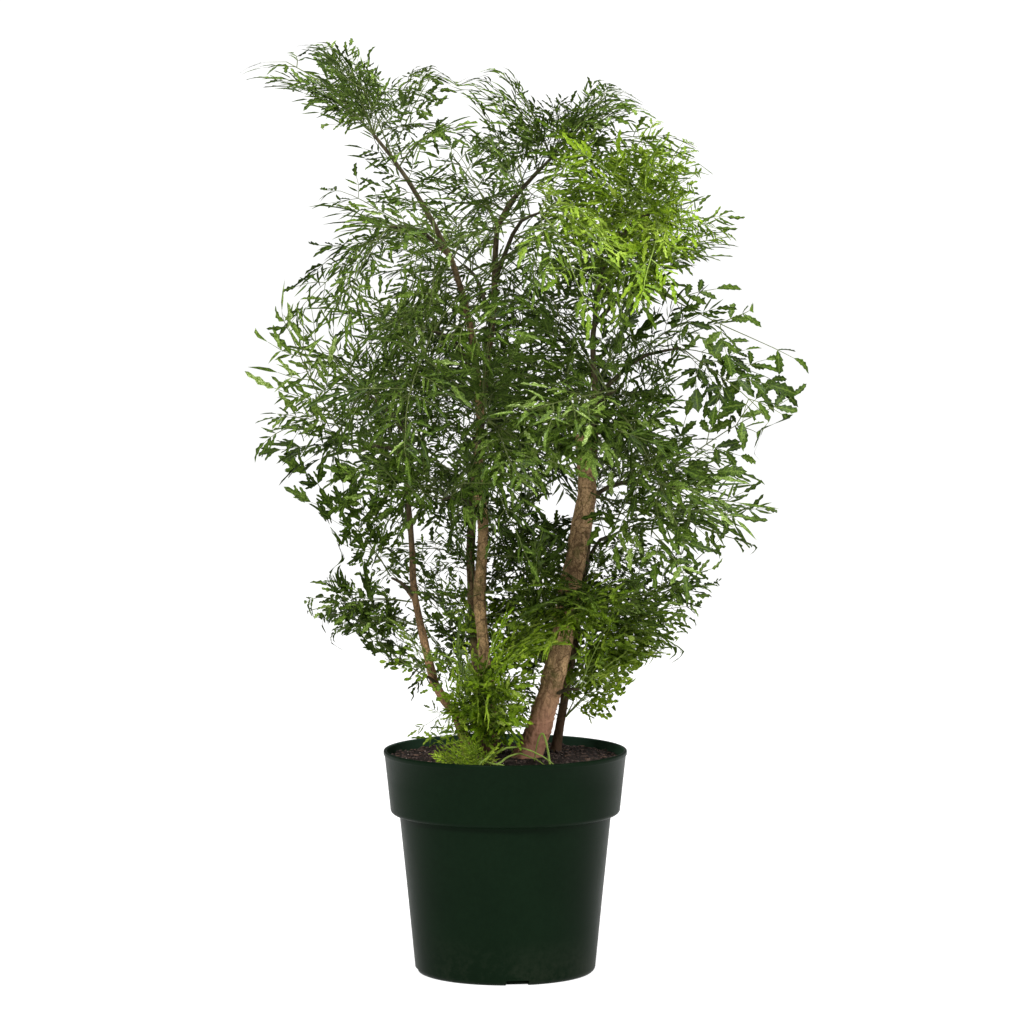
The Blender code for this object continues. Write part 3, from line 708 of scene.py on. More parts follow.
# ---------------------------------------------------------------- leaf blades
def model_blade(name, rows, outline, curve=0.0, fold=0.25, sag=0.10):
    """One leaf blade a unit long, lying along +X: a folded, drooping lens, closed at its edges.

    outline gives the half width at each share of the length, and how far a tooth leans forward there.
    """
    deselect_all()
    bpy.ops.mesh.primitive_grid_add(x_subdivisions=rows, y_subdivisions=2, size=1.0)
    blade = bpy.context.object
    blade.name = name
    mesh = blade.data
    pattern = mesh.uv_layers[0] if mesh.uv_layers else mesh.uv_layers.new()
    pattern.name = "blade"
    for loop in mesh.loops:
        at = mesh.vertices[loop.vertex_index].co
        pattern.uv[loop.index].vector = (at.x + 0.5, at.y + 0.5)
    for vertex in mesh.vertices:
        along, side = vertex.co.x + 0.5, 2 * vertex.co.y
        half, lean = outline(along)
        across = side * half
        vertex.co.x = along + lean * abs(side)
        vertex.co.y = across + curve * along**2
        vertex.co.z = fold * abs(across) - sag * along**2
    bpy.ops.object.mode_set(mode="EDIT")
    bpy.ops.mesh.select_all(action="SELECT")
    bpy.ops.mesh.duplicate()
    bpy.ops.mesh.flip_normals()
    bpy.ops.object.mode_set(mode="OBJECT")
    under = {p.index for p in mesh.polygons if p.select}
    half_count = len(mesh.vertices) // 2
    for i in range(half_count, 2 * half_count):
        twin = mesh.vertices[i - half_count].co
        if abs(twin.y - curve * twin.x**2) < 1e-6 and 0.01 < twin.x < 0.99:
            mesh.vertices[i].co.z -= BLADE_BELLY
    set_attribute(mesh, "under", [float(p.index in under) for p in mesh.polygons], "FACE")
    bpy.ops.object.mode_set(mode="EDIT")
    bpy.ops.mesh.select_all(action="SELECT")
    bpy.ops.mesh.remove_doubles(threshold=0.0005)
    bpy.ops.object.mode_set(mode="OBJECT")
    return blade


def lance(width, belly=0.42):
    """A lance outline: widest at the belly, drawn out to a point."""

    def outline(along):
        if along <= 0.001 or along >= 0.999:
            return 0.0, 0.0
        rise = (along / belly) ** 0.8 if along < belly else ((1 - along) / (1 - belly)) ** 0.85
        return width / 2 * rise, 0.0

    return outline


def toothed(width, rows, depth, lean=0.05, fullest=0.85):
    """An outline cut into forward-pointing lobes: an odd row is a lobe's tip, an even one a notch."""

    def outline(along):
        if along <= 0.001 or along >= 0.999:
            return 0.0, 0.0
        body = math.sin(math.pi * min(1.0, along * 1.02) ** fullest) ** 0.6
        is_tip = round(along * rows) % 2 == 1
        return width / 2 * body * (1.0 if is_tip else 1.0 - depth), lean if is_tip else 0.0

    return outline


def spoon(width):
    """A rounded outline, widest beyond the middle."""

    def outline(along):
        if along <= 0.001 or along >= 0.999:
            return 0.0, 0.0
        return width / 2 * math.sin(math.pi * along**1.35) ** 0.7, 0.0

    return outline


def blade_arrays(blade):
    """What a copy of the blade needs, with its pattern map and its underside mark."""
    points, corners, sizes = mesh_arrays(blade)
    mesh = blade.data
    uv = np.empty(len(mesh.loops) * 2, np.float32)
    mesh.uv_layers["blade"].uv.foreach_get("vector", uv)
    under = np.empty(len(mesh.polygons), np.float32)
    mesh.attributes["under"].data.foreach_get("value", under)
    return {"points": points, "corners": corners, "sizes": sizes, "uv": uv.reshape(-1, 2), "under": under}


def model_blades():
    models = {
        "cut": model_blade("cut_blade", 6, toothed(0.50, 6, 0.55), fold=0.30, sag=0.22),
        "cut_left": model_blade("cut_left_blade", 6, toothed(0.44, 6, 0.55), curve=0.30, sag=0.16),
        "cut_right": model_blade("cut_right_blade", 6, toothed(0.44, 6, 0.55), curve=-0.30, sag=0.16),
        "left": model_blade("left_blade", 3, lance(0.24), curve=0.30, sag=0.20),
        "right": model_blade("right_blade", 3, lance(0.24), curve=-0.30, sag=0.20),
        "lobe": model_blade("lobe_blade", 6, toothed(0.40, 6, 0.40), fold=0.18, sag=0.20),
        "toothed": model_blade("toothed_blade", 9, toothed(0.50, 9, 0.36, 0.045, 1.15), fold=0.16, sag=0.20),
        "spoon": model_blade("spoon_blade", 4, spoon(0.62), fold=0.14, sag=0.14),
    }
    arrays = {kind: blade_arrays(model) for kind, model in models.items()}
    for model in models.values():
        bpy.data.objects.remove(model)
    return arrays


BLADES = model_blades()


# ---------------------------------------------------------------- compound leaves
# Each kind of leaf: the blades that its leaflets take, a leaflet's length in metres, its share of the
# blade's own width, the pairs of leaflets on a pinna, the pairs of lobes on a leaflet, the lobes' share
# of its length, their spread in degrees, and how many different leaves of the kind are modelled.
CUT = ("cut", "cut_left", "cut_right")
KINDS = {
    "fine": (("cut_left", "cut_right", "left", "right"), 0.0235, 0.66, 3, 0, 0.0, 0, 5),
    "soft": (CUT, 0.0200, 0.84, 3, 0, 0.0, 0, 4),
    "lobed": (("lobe",), 0.0300, 0.85, 1, 2, 0.55, 40, 2),
    "toothed": (("toothed",), 0.0240, 0.90, 2, 0, 0.0, 0, 2),
    "round": (("spoon", "spoon", "cut"), 0.0130, 1.00, 3, 0, 0.0, 0, 2),
    "young": (("cut_left", "cut_right", "cut_left", "cut_right", "cut"), 0.0190, 0.72, 4, 0, 0.0, 0, 4),
}
# How light a leaf is, from 0 to 1: the usual tone, how much it varies, and how much darker some kinds are.
LEAF_TONE = 0.42
TONE_SPREAD = 0.13
DARK_KINDS = ("toothed", "lobed")
DARKER = 0.16
MODEL_LENGTH = 0.150


def turn(axis, degrees):
    return np.array(Matrix.Rotation(math.radians(degrees), 3, axis))


def stalk_arrays(points, radii, sides=3):
    """A thin closed stalk through the points: (points, corners, face sizes, pattern map)."""
    points = np.asarray(points)
    count = len(points)
    along = np.gradient(points, axis=0)
    along /= np.linalg.norm(along, axis=1)[:, None]
    first = np.cross(along, (0.0, 0.0, 1.0))
    upright = np.linalg.norm(first, axis=1) < 0.05
    first[upright] = np.cross(along[upright], (0.0, 1.0, 0.0))
    first /= np.linalg.norm(first, axis=1)[:, None]
    second = np.cross(first, along)
    angles = np.arange(sides) * math.tau / sides
    spokes = np.cos(angles)[None, :, None] * first[:, None] + np.sin(angles)[None, :, None] * second[:, None]
    rings = points[:, None] + np.asarray(radii)[:, None, None] * spokes
    corners, sizes, uv = [], [], []
    for i in range(count - 1):
        for j in range(sides):
            k = (j + 1) % sides
            low, high = i * sides, (i + 1) * sides
            corners += [low + j, high + j, high + k, low + k]
            sizes.append(4)
            a, b, c, d = i / (count - 1), (i + 1) / (count - 1), j / sides, (j + 1) / sides
            uv += [(a, c), (b, c), (b, d), (a, d)]
    last = (count - 1) * sides
    corners += [*range(sides), *reversed(range(last, last + sides))]
    sizes += [sides, sides]
    uv += [(0.0, 0.0)] * sides + [(1.0, 1.0)] * sides
    return rings.reshape(-1, 3), np.array(corners), np.array(sizes), np.array(uv, np.float32)


class LeafModel:
    """One compound leaf, laid out flat along +X: a stalk, pinnae in pairs, and lobed leaflets along them."""

    def __init__(self, kind, seed, length=MODEL_LENGTH, pairs=4):
        self.rng = np.random.default_rng(seed)
        self.blades, self.size, self.wide, self.leaflet_pairs = KINDS[kind][:4]
        self.lobe_pairs, self.lobe_share, self.spread = KINDS[kind][4:7]
        self.parts, self.count, self.length = [], 0, length
        rng = self.rng
        stalk = 0.22 * length
        spacing = (length - stalk) / (pairs + 0.75)
        wave = rng.uniform(0, math.tau)
        shares = np.linspace(0.0, 1.0, 7)
        rachis = np.stack([0.86 * length * shares, 0.03 * length * np.sin(wave + 4 * shares), 0 * shares], 1)
        rachis[:, 1] -= rachis[0, 1]
        self.add_stalk(rachis, 0.00095, 0.00045, 4)
        for i in range(pairs):
            along = stalk + (i + rng.normal(0, 0.05)) * spacing
            at = np.array([along, np.interp(along, rachis[:, 0], rachis[:, 1]), 0.0])
            reach = 0.30 * length * (1 - 0.13 * i)
            count = max(1, self.leaflet_pairs - (i >= 2))
            for side in (-1, 1):
                heading = side * (56 - 3 * i + rng.normal(0, 6))
                self.add_pinna(at, heading, reach * rng.uniform(0.85, 1.12), count)
        self.add_pinna(rachis[-1], rng.normal(0, 5), 0.15 * length, max(1, self.leaflet_pairs - 1))
        self.join()

    def add_part(self, points, corners, sizes, uv, under, tone, stalk):
        self.parts.append((points, corners + self.count, sizes, uv, under, tone, stalk))
        self.count += len(points)

    def add_stalk(self, path, start, end, sides=3):
        points, corners, sizes, uv = stalk_arrays(path, np.linspace(start, end, len(path)), sides)
        self.add_part(points, corners, sizes, uv, np.zeros(len(sizes)), 0.0, 1.0)

    def add_blade(self, kind, foot, axes, size, tone):
        model = BLADES[kind]
        points = (model["points"] * (size, size * self.wide, size)) @ axes.T + foot
        self.add_part(points, model["corners"], model["sizes"], model["uv"], model["under"], tone, 0.0)

    def add_leaflet(self, foot, axes, size):
        """A leaflet: its own blade, with its lobes on each side."""
        rng = self.rng
        tone = rng.normal(0, 0.17)
        self.add_blade(self.blades[rng.integers(len(self.blades))], foot, axes, size, tone)
        for i in range(self.lobe_pairs):
            for side in (-1, 1):
                at = foot + axes @ np.array([size * (0.10 + 0.26 * i + rng.uniform(0, 0.14)), 0.0, 0.0])
                swing = side * (self.spread + rng.normal(0, 7))
                lean = axes @ turn("Z", swing) @ turn("X", rng.normal(0, 16)) @ turn("Y", rng.normal(0, 9))
                kind = self.blades[rng.integers(len(self.blades))]
                share = self.lobe_share * (1 - 0.22 * i) * rng.uniform(0.8, 1.2)
                self.add_blade(kind, at, lean, size * share, tone)

    def add_pinna(self, foot, heading_deg, reach, leaflet_pairs):
        rng = self.rng
        axes = turn("Z", heading_deg) @ turn("Y", rng.normal(-3, 9))
        bow = -math.copysign(rng.uniform(0.05, 0.24), heading_deg)
        shares = np.linspace(0.0, 1.0, 4)
        offsets = [reach * shares, bow * reach * shares**2, -0.08 * reach * shares**2]
        path = np.stack(offsets, 1) @ axes.T + foot
        self.add_stalk(path, 0.00052, 0.00030)
        for i in range(leaflet_pairs):
            share = 0.28 + 0.62 * i / leaflet_pairs
            at = foot + axes @ np.array([reach * share, bow * reach * share**2, -0.08 * reach * share**2])
            size = self.size * (1.0 - 0.25 * share)
            for side in (-1, 1):
                swing = side * (44 + rng.normal(0, 8)) + math.degrees(2 * bow * share)
                lean = axes @ turn("Z", swing) @ turn("Y", rng.normal(0, 13)) @ turn("X", rng.normal(0, 20))
                self.add_leaflet(at, lean, size * rng.uniform(0.80, 1.18))
        ahead = axes @ turn("Z", math.degrees(2 * bow)) @ turn("X", rng.normal(0, 16))
        self.add_leaflet(path[-1], ahead, self.size * rng.uniform(0.95, 1.25))

    def join(self):
        parts = self.parts
        self.points = np.vstack([p[0] for p in parts])
        self.corners = np.concatenate([p[1] for p in parts])
        self.sizes = np.concatenate([p[2] for p in parts])
        self.uv = np.vstack([p[3] for p in parts])
        self.under = np.concatenate([p[4] for p in parts])
        self.tone = np.concatenate([np.full(len(p[0]), p[5]) for p in parts])
        self.stalk = np.concatenate([np.full(len(p[0]), p[6]) for p in parts])
        self.islands = np.array([len(p[1]) for p in parts])


def model_all_leaves():
    found = {}
    for number, (kind, settings) in enumerate(KINDS.items()):
        pairs = {"toothed": 3, "lobed": 3}.get(kind, 4)
        found[kind] = [LeafModel(kind, 100 * number + i, pairs=pairs - (i % 2)) for i in range(settings[7])]
    return found


LEAVES = model_all_leaves()


class Foliage:
    """Gathers leaves, then makes them into one mesh."""

    def __init__(self):
        self.parts, self.count = [], 0

    def add(self, points, model, mirrored, tone, youth):
        step = -1 if mirrored else 1
        self.parts.append(
            (
                points,
                (model.corners + self.count)[::step],
                model.sizes[::step],
                model.uv[::step],
                model.under[::step],
                np.clip(model.tone + tone, 0, 1),
                model.stalk,
                np.full(len(points), youth),
                model.islands[::step],
            )
        )
        self.count += len(points)

    def make(self, name, material):
        points, corners, sizes, pattern, under, tone, stalk, youth, islands = (
            np.concatenate([part[i] for part in self.parts]) for i in range(9)
        )
        obj = mesh_from(name, points, corners, sizes)
        mesh = obj.data
        tiles = atlas(pattern, sizes, under, islands)
        mesh.uv_layers.new(name="blade").uv.foreach_set("vector", pattern.astype(np.float32).ravel())
        mesh.uv_layers.new(name="OFBake").uv.foreach_set("vector", tiles.ravel())
        set_attribute(mesh, "tone", tone)
        set_attribute(mesh, "youth", youth)
        set_attribute(mesh, "stalk", stalk)
        set_attribute(mesh, "under", under, "FACE")
        smooth(obj, 50)
        wear(obj, material)
        return obj


def atlas(pattern, sizes, under, islands):
    """Every blade side has a tile of its own, in rows, so that no two share a place."""
    tiles = 2 * len(islands)
    wide = math.ceil(math.sqrt(tiles / 2))
    high = math.ceil(tiles / wide)
    island = np.repeat(np.arange(len(islands)), islands)
    side = np.repeat(under, sizes) > 0.5
    tile = 2 * island + side
    column, row = tile % wide, tile // wide
    inside = 0.06 + 0.88 * pattern
    return np.stack([(column + inside[:, 0]) / wide, (row + inside[:, 1]) / high], 1).astype(np.float32)


def set_leaf(model, place, length, bend, mirrored):
    """The model's points, bent and set in their place. bend is (droop, side droop, twist)."""
    droop, side_droop, twist = bend
    x, y, z = (model.points * (length / model.length)).T
    if mirrored:
        y = -y
    z = z - droop * x**2 / length - side_droop * y**2 / (0.5 * length) + twist * x * y / length
    return np.stack([x, y, z], 1) @ place[:3, :3].T + place[:3, 3]


def leaf_frame(foot, pointing, roll_deg):
    """A place for a leaf: its foot, the way it points, and its face turned up and then rolled."""
    pointing = pointing / np.linalg.norm(pointing)
    across = np.cross((0.0, 0.0, 1.0), pointing)
    if np.linalg.norm(across) < 0.05:
        across = np.array((1.0, 0.0, 0.0))
    across /= np.linalg.norm(across)
    face = np.cross(pointing, across)
    roll = math.radians(roll_deg)
    place = np.eye(4)
    place[:3, 0] = pointing
    place[:3, 1] = across * math.cos(roll) + face * math.sin(roll)
    place[:3, 2] = np.cross(place[:3, 0], place[:3, 1])
    place[:3, 3] = foot
    return place


def cad_leaf_place(node):
    """(4 x 4 place, length) of a CAD leaf, read from its plate: foot, pointing and face."""
    points = np.array([v.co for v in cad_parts[node].data.vertices], float)
    points = np.unique(points.round(7), axis=0)
    middle = points.mean(0)
    axes = np.linalg.svd(points - middle, full_matrices=False)[2]
    along = (points - middle) @ axes[0]
    if along.max() > -along.min():
        axes[0], along = -axes[0], -along
    # The stalk's end is the further one from the mean, and is now at the low end.
    foot = points[along < along.min() + 0.0012].mean(0)
    tip = points[np.argmax(along)]
    chord = tip - foot
    reach = np.linalg.norm(chord)
    chord /= reach
    face = np.cross(chord, axes[1])
    face /= np.linalg.norm(face)
    rachis = points[np.abs((points - foot) @ np.cross(face, chord)) < 0.004]
    if ((rachis - foot) @ face).mean() < 0:
        face = -face
    sag = math.atan(LEAF_DROOP)
    pointing = chord * math.cos(sag) + face * math.sin(sag)
    face = np.cross(pointing, np.cross(face, pointing))
    place = np.eye(4)
    place[:3, 0], place[:3, 1], place[:3, 2], place[:3, 3] = pointing, np.cross(face, pointing), face, foot
    return place, reach * math.cos(sag)


# ---------------------------------------------------------------- the crown
# Height, left edge and right edge of the crown, seen from the front, in metres.
CROWN_EDGES = (
    (0.222, -0.090, 0.108),
    (0.257, -0.103, 0.108),
    (0.278, -0.085, 0.098),
    (0.300, -0.138, 0.112),
    (0.330, -0.122, 0.137),
    (0.350, -0.160, 0.180),
    (0.385, -0.186, 0.206),
    (0.410, -0.196, 0.204),
    (0.436, -0.146, 0.215),
    (0.460, -0.155, 0.264),
    (0.490, -0.180, 0.272),
    (0.515, -0.238, 0.262),
    (0.550, -0.248, 0.232),
    (0.575, -0.262, 0.245),
    (0.592, -0.272, 0.304),
    (0.640, -0.262, 0.314),
    (0.665, -0.250, 0.300),
    (0.690, -0.220, 0.236),
    (0.730, -0.208, 0.240),
    (0.757, -0.182, 0.234),
    (0.795, -0.216, 0.236),
    (0.830, -0.176, 0.222),
    (0.870, -0.152, 0.186),
    (0.892, -0.200, 0.160),
    (0.910, -0.256, 0.136),
    (0.945, -0.260, 0.110),
    (0.978, -0.176, -0.095),
)
# Place across the crown, and the crown's height there.
CROWN_ROOF = (
    (-0.280, 0.915),
    (-0.230, 0.938),
    (-0.170, 0.960),
    (-0.120, 0.948),
    (-0.075, 0.928),
    (-0.050, 0.905),
    (0.000, 0.932),
    (0.080, 0.930),
    (0.120, 0.902),
    (0.165, 0.868),
    (0.200, 0.842),
    (0.240, 0.780),
)
TIP_ROOM = 0.022
PRESS_BAND = 0.020
HALF_DEPTH = 0.245
# Clumps of leaves on the wood: centre, spread, how many leaves, and their kinds.
CLUMPS = (
    ((-0.035, -0.060, 0.310), (0.022, 0.018, 0.018), 12, ("young", "young", "soft")),
    ((0.000, -0.065, 0.295), (0.018, 0.016, 0.020), 10, ("young", "soft")),
    ((-0.025, -0.060, 0.262), (0.024, 0.018, 0.012), 11, ("soft", "lobed", "soft")),
    ((0.100, -0.010, 0.300), (0.018, 0.020, 0.026), 13, ("young", "soft", "round")),
    ((0.105, -0.010, 0.350), (0.022, 0.020, 0.025), 6, ("young", "soft")),
    ((0.062, -0.055, 0.395), (0.012, 0.010, 0.020), 13, ("young", "young", "soft")),
    ((0.020, -0.020, 0.415), (0.025, 0.020, 0.025), 12, ("soft", "young")),
    ((-0.025, -0.030, 0.405), (0.012, 0.014, 0.014), 5, ("young", "soft")),
    ((0.070, -0.080, 0.610), (0.022, 0.014, 0.022), 7, ("lobed", "soft")),
    ((-0.030, -0.080, 0.520), (0.030, 0.014, 0.022), 6, ("lobed", "soft")),
    ((-0.108, -0.030, 0.315), (0.010, 0.012, 0.010), 3, ("soft", "lobed")),
    ((0.262, -0.020, 0.640), (0.012, 0.020, 0.010), 2, ("toothed",)),
    ((0.085, 0.060, 0.290), (0.020, 0.020, 0.025), 8, ("round", "young")),
    ((0.030, 0.050, 0.300), (0.030, 0.020, 0.030), 9, ("round", "young")),
    ((-0.040, 0.060, 0.320), (0.030, 0.020, 0.030), 8, ("round", "young")),
    ((0.000, 0.050, 0.370), (0.035, 0.020, 0.035), 8, ("round", "young")),
    ((-0.165, -0.010, 0.385), (0.018, 0.020, 0.014), 7, ("soft", "round")),
    ((0.150, 0.010, 0.385), (0.030, 0.030, 0.014), 4, ("soft", "round", "soft")),
    ((0.088, 0.020, 0.262), (0.008, 0.016, 0.006), 4, ("soft", "round")),
    ((-0.215, 0.000, 0.922), (0.022, 0.030, 0.008), 5, ("fine",)),
    ((-0.155, 0.000, 0.925), (0.022, 0.030, 0.010), 5, ("fine",)),
    ((-0.105, 0.000, 0.900), (0.022, 0.030, 0.014), 6, ("fine", "soft")),
    ((0.140, -0.060, 0.795), (0.045, 0.035, 0.026), 16, ("young", "young", "fine")),
    ((0.010, 0.000, 0.895), (0.030, 0.030, 0.012), 7, ("fine", "fine", "soft")),
    ((0.085, 0.010, 0.900), (0.025, 0.030, 0.012), 6, ("fine", "fine", "soft")),
    ((0.150, 0.020, 0.870), (0.020, 0.030, 0.012), 3, ("fine",)),
)
TUFT_LEAVES = 26
# The fallen stalks on the mix: where each starts and ends, and how high it arches.
FALLEN_STALKS = (
    ((-0.030, -0.098), (0.052, -0.082), 0.020),
    ((-0.012, -0.100), (0.040, -0.070), 0.012),
    ((0.046, -0.078), (0.030, -0.060), 0.030),
    ((-0.045, -0.092), (0.010, -0.104), 0.006),
)
# Where bark is seen from the front, between the leaves: left, right, low and high edge.
SEEN_BARK = (
    (-0.115, -0.055, 0.290, 0.490),
    (-0.035, 0.002, 0.345, 0.460),
    (0.020, 0.075, 0.225, 0.345),
    (0.050, 0.105, 0.430, 0.530),
)
EXTRA_LEAVES = 185
CANDIDATES = 22
# What a tried place costs for leaving the crown, for hiding bark and for crowding the toothed spray.
OUT_COST = 500
BARK_COST = 90
SPRAY_COST = 600
# The share of a leaf that may leave the crown at no cost.
FREE_OUT = 0.03
# A clump's leaf may leave the crown and hide bark by at most these shares.
MOST_OUT = 0.22
MOST_HIDING = 0.08
# A leaf's youth at or below this counts as none.
LEAST_YOUTH = 0.20
CROWD_CELL = 0.022
GAP_WAVES = 26.0


def youth_at(point):
    """How much of a lime young leaf grows here: in the upper right crown and low at the front."""
    x, y, z = point
    front = 1.0 if y < 0.03 else 0.35
    upper = math.exp(-(((x - 0.150) / 0.095) ** 2) - ((z - 0.802) / 0.066) ** 2)
    lower = 1.35 * math.exp(-(((x - 0.030) / 0.105) ** 2) - ((z - 0.310) / 0.085) ** 2)
    return front * min(1.0, max(upper, lower))


def kind_at(point, rng):
    """The kind of leaf that grows at a place in the crown."""
    x, y, z = point
    if youth_at(point) > 0.50:
        return "young"
    if x > 0.200 and 0.57 < z < 0.69:
        return "toothed"
    if x < -0.13 and 0.47 < z < 0.57:
        return "lobed"
    if z < 0.48 and rng.uniform() < (0.65 if y > 0 else 0.30):
        return "round"
    if abs(x - 0.03) < 0.08 and 0.52 < z < 0.68 and y < 0 and rng.uniform() < 0.5:
        return "lobed"
    return "fine" if z > 0.62 or rng.uniform() < 0.45 else "soft"


def mound(x, z, centre, spread):
    return np.exp(-(((x - centre[0]) / spread[0]) ** 2) - ((z - centre[1]) / spread[1]) ** 2)


def wanted_density(x, z):
    """How full of leaves the crown is at a place, seen from the front."""
    heart = 1.10 * mound(x, z, (0.010, 0.620), (0.120, 0.130))
    lime = 0.70 * mound(x, z, (0.140, 0.800), (0.075, 0.060))
    skirt = 0.20 * mound(x, z, (0.040, 0.390), (0.120, 0.070))
    bush = 1.40 * mound(x, z, (-0.010, 0.290), (0.055, 0.050))
    spray = -0.30 * mound(x, z, (0.255, 0.640), (0.060, 0.070))
    gaps = value_noise(np.stack([x, z, 0 * x], 1), GAP_WAVES, 9)
    return (0.45 + heart + lime + skirt + bush + spray) * (0.20 + 1.40 * soft_step(gaps, 0.25, 0.72))


def out_of_crown(points):
    """The share of the points that are out of the crown, in front view or in depth."""
    x, y, z = points.T
    heights, left, right = np.array(CROWN_EDGES).T
    low, high = np.interp(z, heights, left), np.interp(z, heights, right)
    out = (x < low - 0.004) | (x > high + 0.004) | (z > heights[-1])
    half, middle = (high - low) / 2, (high + low) / 2
    roundness = np.sqrt(np.clip(1.08 - ((x - middle) / half) ** 2, 0.05, 1))
    room = HALF_DEPTH * roundness * soft_step(z, 0.10, 0.52)
    out |= np.abs(y) > room
    beside_pot = (z < POT_HEIGHT + 0.004) & (np.hypot(x, y) > RIM_RADIUS - 0.012)
    return (out.sum() + 6 * beside_pot.sum() + 6 * (z < MIX_HIGH.z).sum()) / len(points)


def soft_limit(values, limit, band):
    """Values that would pass the limit are bent back under it, starting a band before it."""
    over = np.maximum(0.0, values - (limit - band))
    return np.where(over > 0, limit - band * np.exp(-over / band), values)


def pressed(points):
    """Keeps the tips of the leaves inside the crown's outline, its depth and its roof."""
    x, y, z = points.T
    roof = np.interp(x, *np.array(CROWN_ROOF).T)
    z = soft_limit(z, roof + TIP_ROOM, PRESS_BAND)
    heights, left, right = np.array(CROWN_EDGES).T
    x = soft_limit(x, np.minimum(np.interp(z, heights, right), CAD_BOX[1][0]) + TIP_ROOM, PRESS_BAND)
    x = -soft_limit(-x, TIP_ROOM - np.maximum(np.interp(z, heights, left), CAD_BOX[0][0]), PRESS_BAND)
    y = soft_limit(y, CAD_BOX[1][1] + TIP_ROOM, PRESS_BAND)
    y = -soft_limit(-y, TIP_ROOM - CAD_BOX[0][1], PRESS_BAND)
    return np.stack([x, y, z], 1)


def hides_bark(points):
    x, y, z = points.T
    found = np.zeros(len(points), bool)
    for left, right, low, high in SEEN_BARK:
        found |= (x > left) & (x < right) & (z > low) & (z < high) & (y < 0.0)
    return found.mean()


def around_spray(points):
    """The share of the points that would crowd the open space round the toothed spray at the right."""
    x, _, z = points.T
    return ((x > 0.196) & (z > 0.545) & (z < 0.735)).mean()


class Crowd:
    """Counts the leaf blades in each cell of the crown."""

    def __init__(self):
        self.cells = np.zeros((48, 48, 50))

    def where(self, points):
        at = ((points - (-0.5, -0.5, 0.0)) / CROWD_CELL).astype(int)
        return tuple(np.clip(at, 0, np.array(self.cells.shape) - 1).T)

    def add(self, points):
        np.add.at(self.cells, self.where(points), 1.0)

    def at(self, points):
        return (self.cells[self.where(points)] / wanted_density(points[:, 0], points[:, 2])).mean()


def wood_places():
    """(point, normal, cane number) of each place on the canes where a leaf can grow."""
    points, normals, canes = [], [], []
    for number, cane in enumerate(CANES):
        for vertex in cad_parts[cane].data.vertices:
            if vertex.co.z > MIX_HIGH.z + 0.010:
                points.append(vertex.co[:])
                normals.append(vertex.normal[:])
                canes.append(number)
    return np.array(points), np.array(normals), np.array(canes)


def lay_leaf(rng, foot, pointing, length, roll_deg, kind=None):
    """A leaf of a kind that suits its place: (points, model, mirrored, youth, sample of the points)."""
    place = leaf_frame(foot, pointing, roll_deg)
    middle = foot + place[:3, 0] * 0.6 * length
    kind = kind or kind_at(middle, rng)
    model = LEAVES[kind][rng.integers(len(LEAVES[kind]))]
    mirrored = bool(rng.integers(2))
    laid = set_leaf(model, place, length, random_bend(rng), mirrored)
    youth = youth_at(middle) * rng.uniform(0.45, 1.0)
    return pressed(laid), model, mirrored, youth if youth > LEAST_YOUTH else 0.0, laid[::7]


def leaf_tone(rng, is_dark):
    """How light the next leaf is: a random tone, lower for a dark kind."""
    return rng.normal(LEAF_TONE, TONE_SPREAD) - (DARKER if is_dark else 0.0)


def random_bend(rng):
    return rng.uniform(0.14, 0.50), rng.uniform(0.06, 0.34), rng.normal(0.0, 0.35)


def grow_leaf(rng, wood, crowd):
    """One more leaf, the best placed of several tries: (cane number, the leaf)."""
    points, normals, canes = wood
    best, least = None, math.inf
    for _ in range(CANDIDATES):
        i = rng.integers(len(points))
        foot = points[i]
        outward = np.array((foot[0] - 0.02, foot[1], 0.0))
        outward /= max(np.linalg.norm(outward), 0.03)
        rise = np.array((0.0, 0.0, rng.uniform(-0.35, 0.85) - 0.5 * soft_step(foot[2], 0.80, 0.92)))
        pointing = 0.7 * normals[i] + 0.7 * outward + rise + rng.normal(0, 0.45, 3)
        length = rng.uniform(0.075, 0.120) if foot[2] < 0.46 else rng.uniform(0.105, 0.175)
        leaf = lay_leaf(rng, foot, pointing, length, rng.normal(0, 38))
        sample = leaf[4]
        cost = crowd.at(sample) + OUT_COST * max(0.0, out_of_crown(sample) - FREE_OUT)
        cost = cost + BARK_COST * hides_bark(sample)
        cost += SPRAY_COST * around_spray(sample)
        if cost < least:
            best, least = (canes[i], leaf), cost
    return best


def grow_clump_leaf(rng, wood, clump):
    """One leaf of a clump, springing from wood near its place: (cane number, the leaf)."""
    points, _, canes = wood
    centre, spread, _, kinds = clump
    while True:
        target = np.array(centre) + rng.normal(0, 1, 3) * spread
        apart = np.linalg.norm(points - target, axis=1) + 0.6 * np.maximum(0, points[:, 2] - target[2])
        i = np.argsort(apart)[rng.integers(6)]
        reach = target - points[i]
        length = rng.uniform(0.085, 0.135)
        pointing = reach / max(np.linalg.norm(reach), 0.001) + rng.normal(0, 0.30, 3) + (0.0, -0.15, 0.25)
        kind = kinds[rng.integers(len(kinds))]
        leaf = lay_leaf(rng, points[i], pointing, length, rng.normal(0, 45), kind)
        if out_of_crown(leaf[4]) < MOST_OUT and hides_bark(leaf[4]) < MOST_HIDING:
            return canes[i], leaf


def bare_stalk(path, start, end):
    """A leafless stalk through the points, in the form that Foliage takes: (points, model)."""
    points, corners, sizes, uv = stalk_arrays(path, np.linspace(start, end, len(path)), 6)
    count = len(points)
    model = SimpleNamespace(
        corners=corners,
        sizes=sizes,
        uv=uv,
        under=np.zeros(len(sizes)),
        tone=np.zeros(count),
        stalk=np.ones(count),
        islands=np.array([len(corners)]),
    )
    return points, model


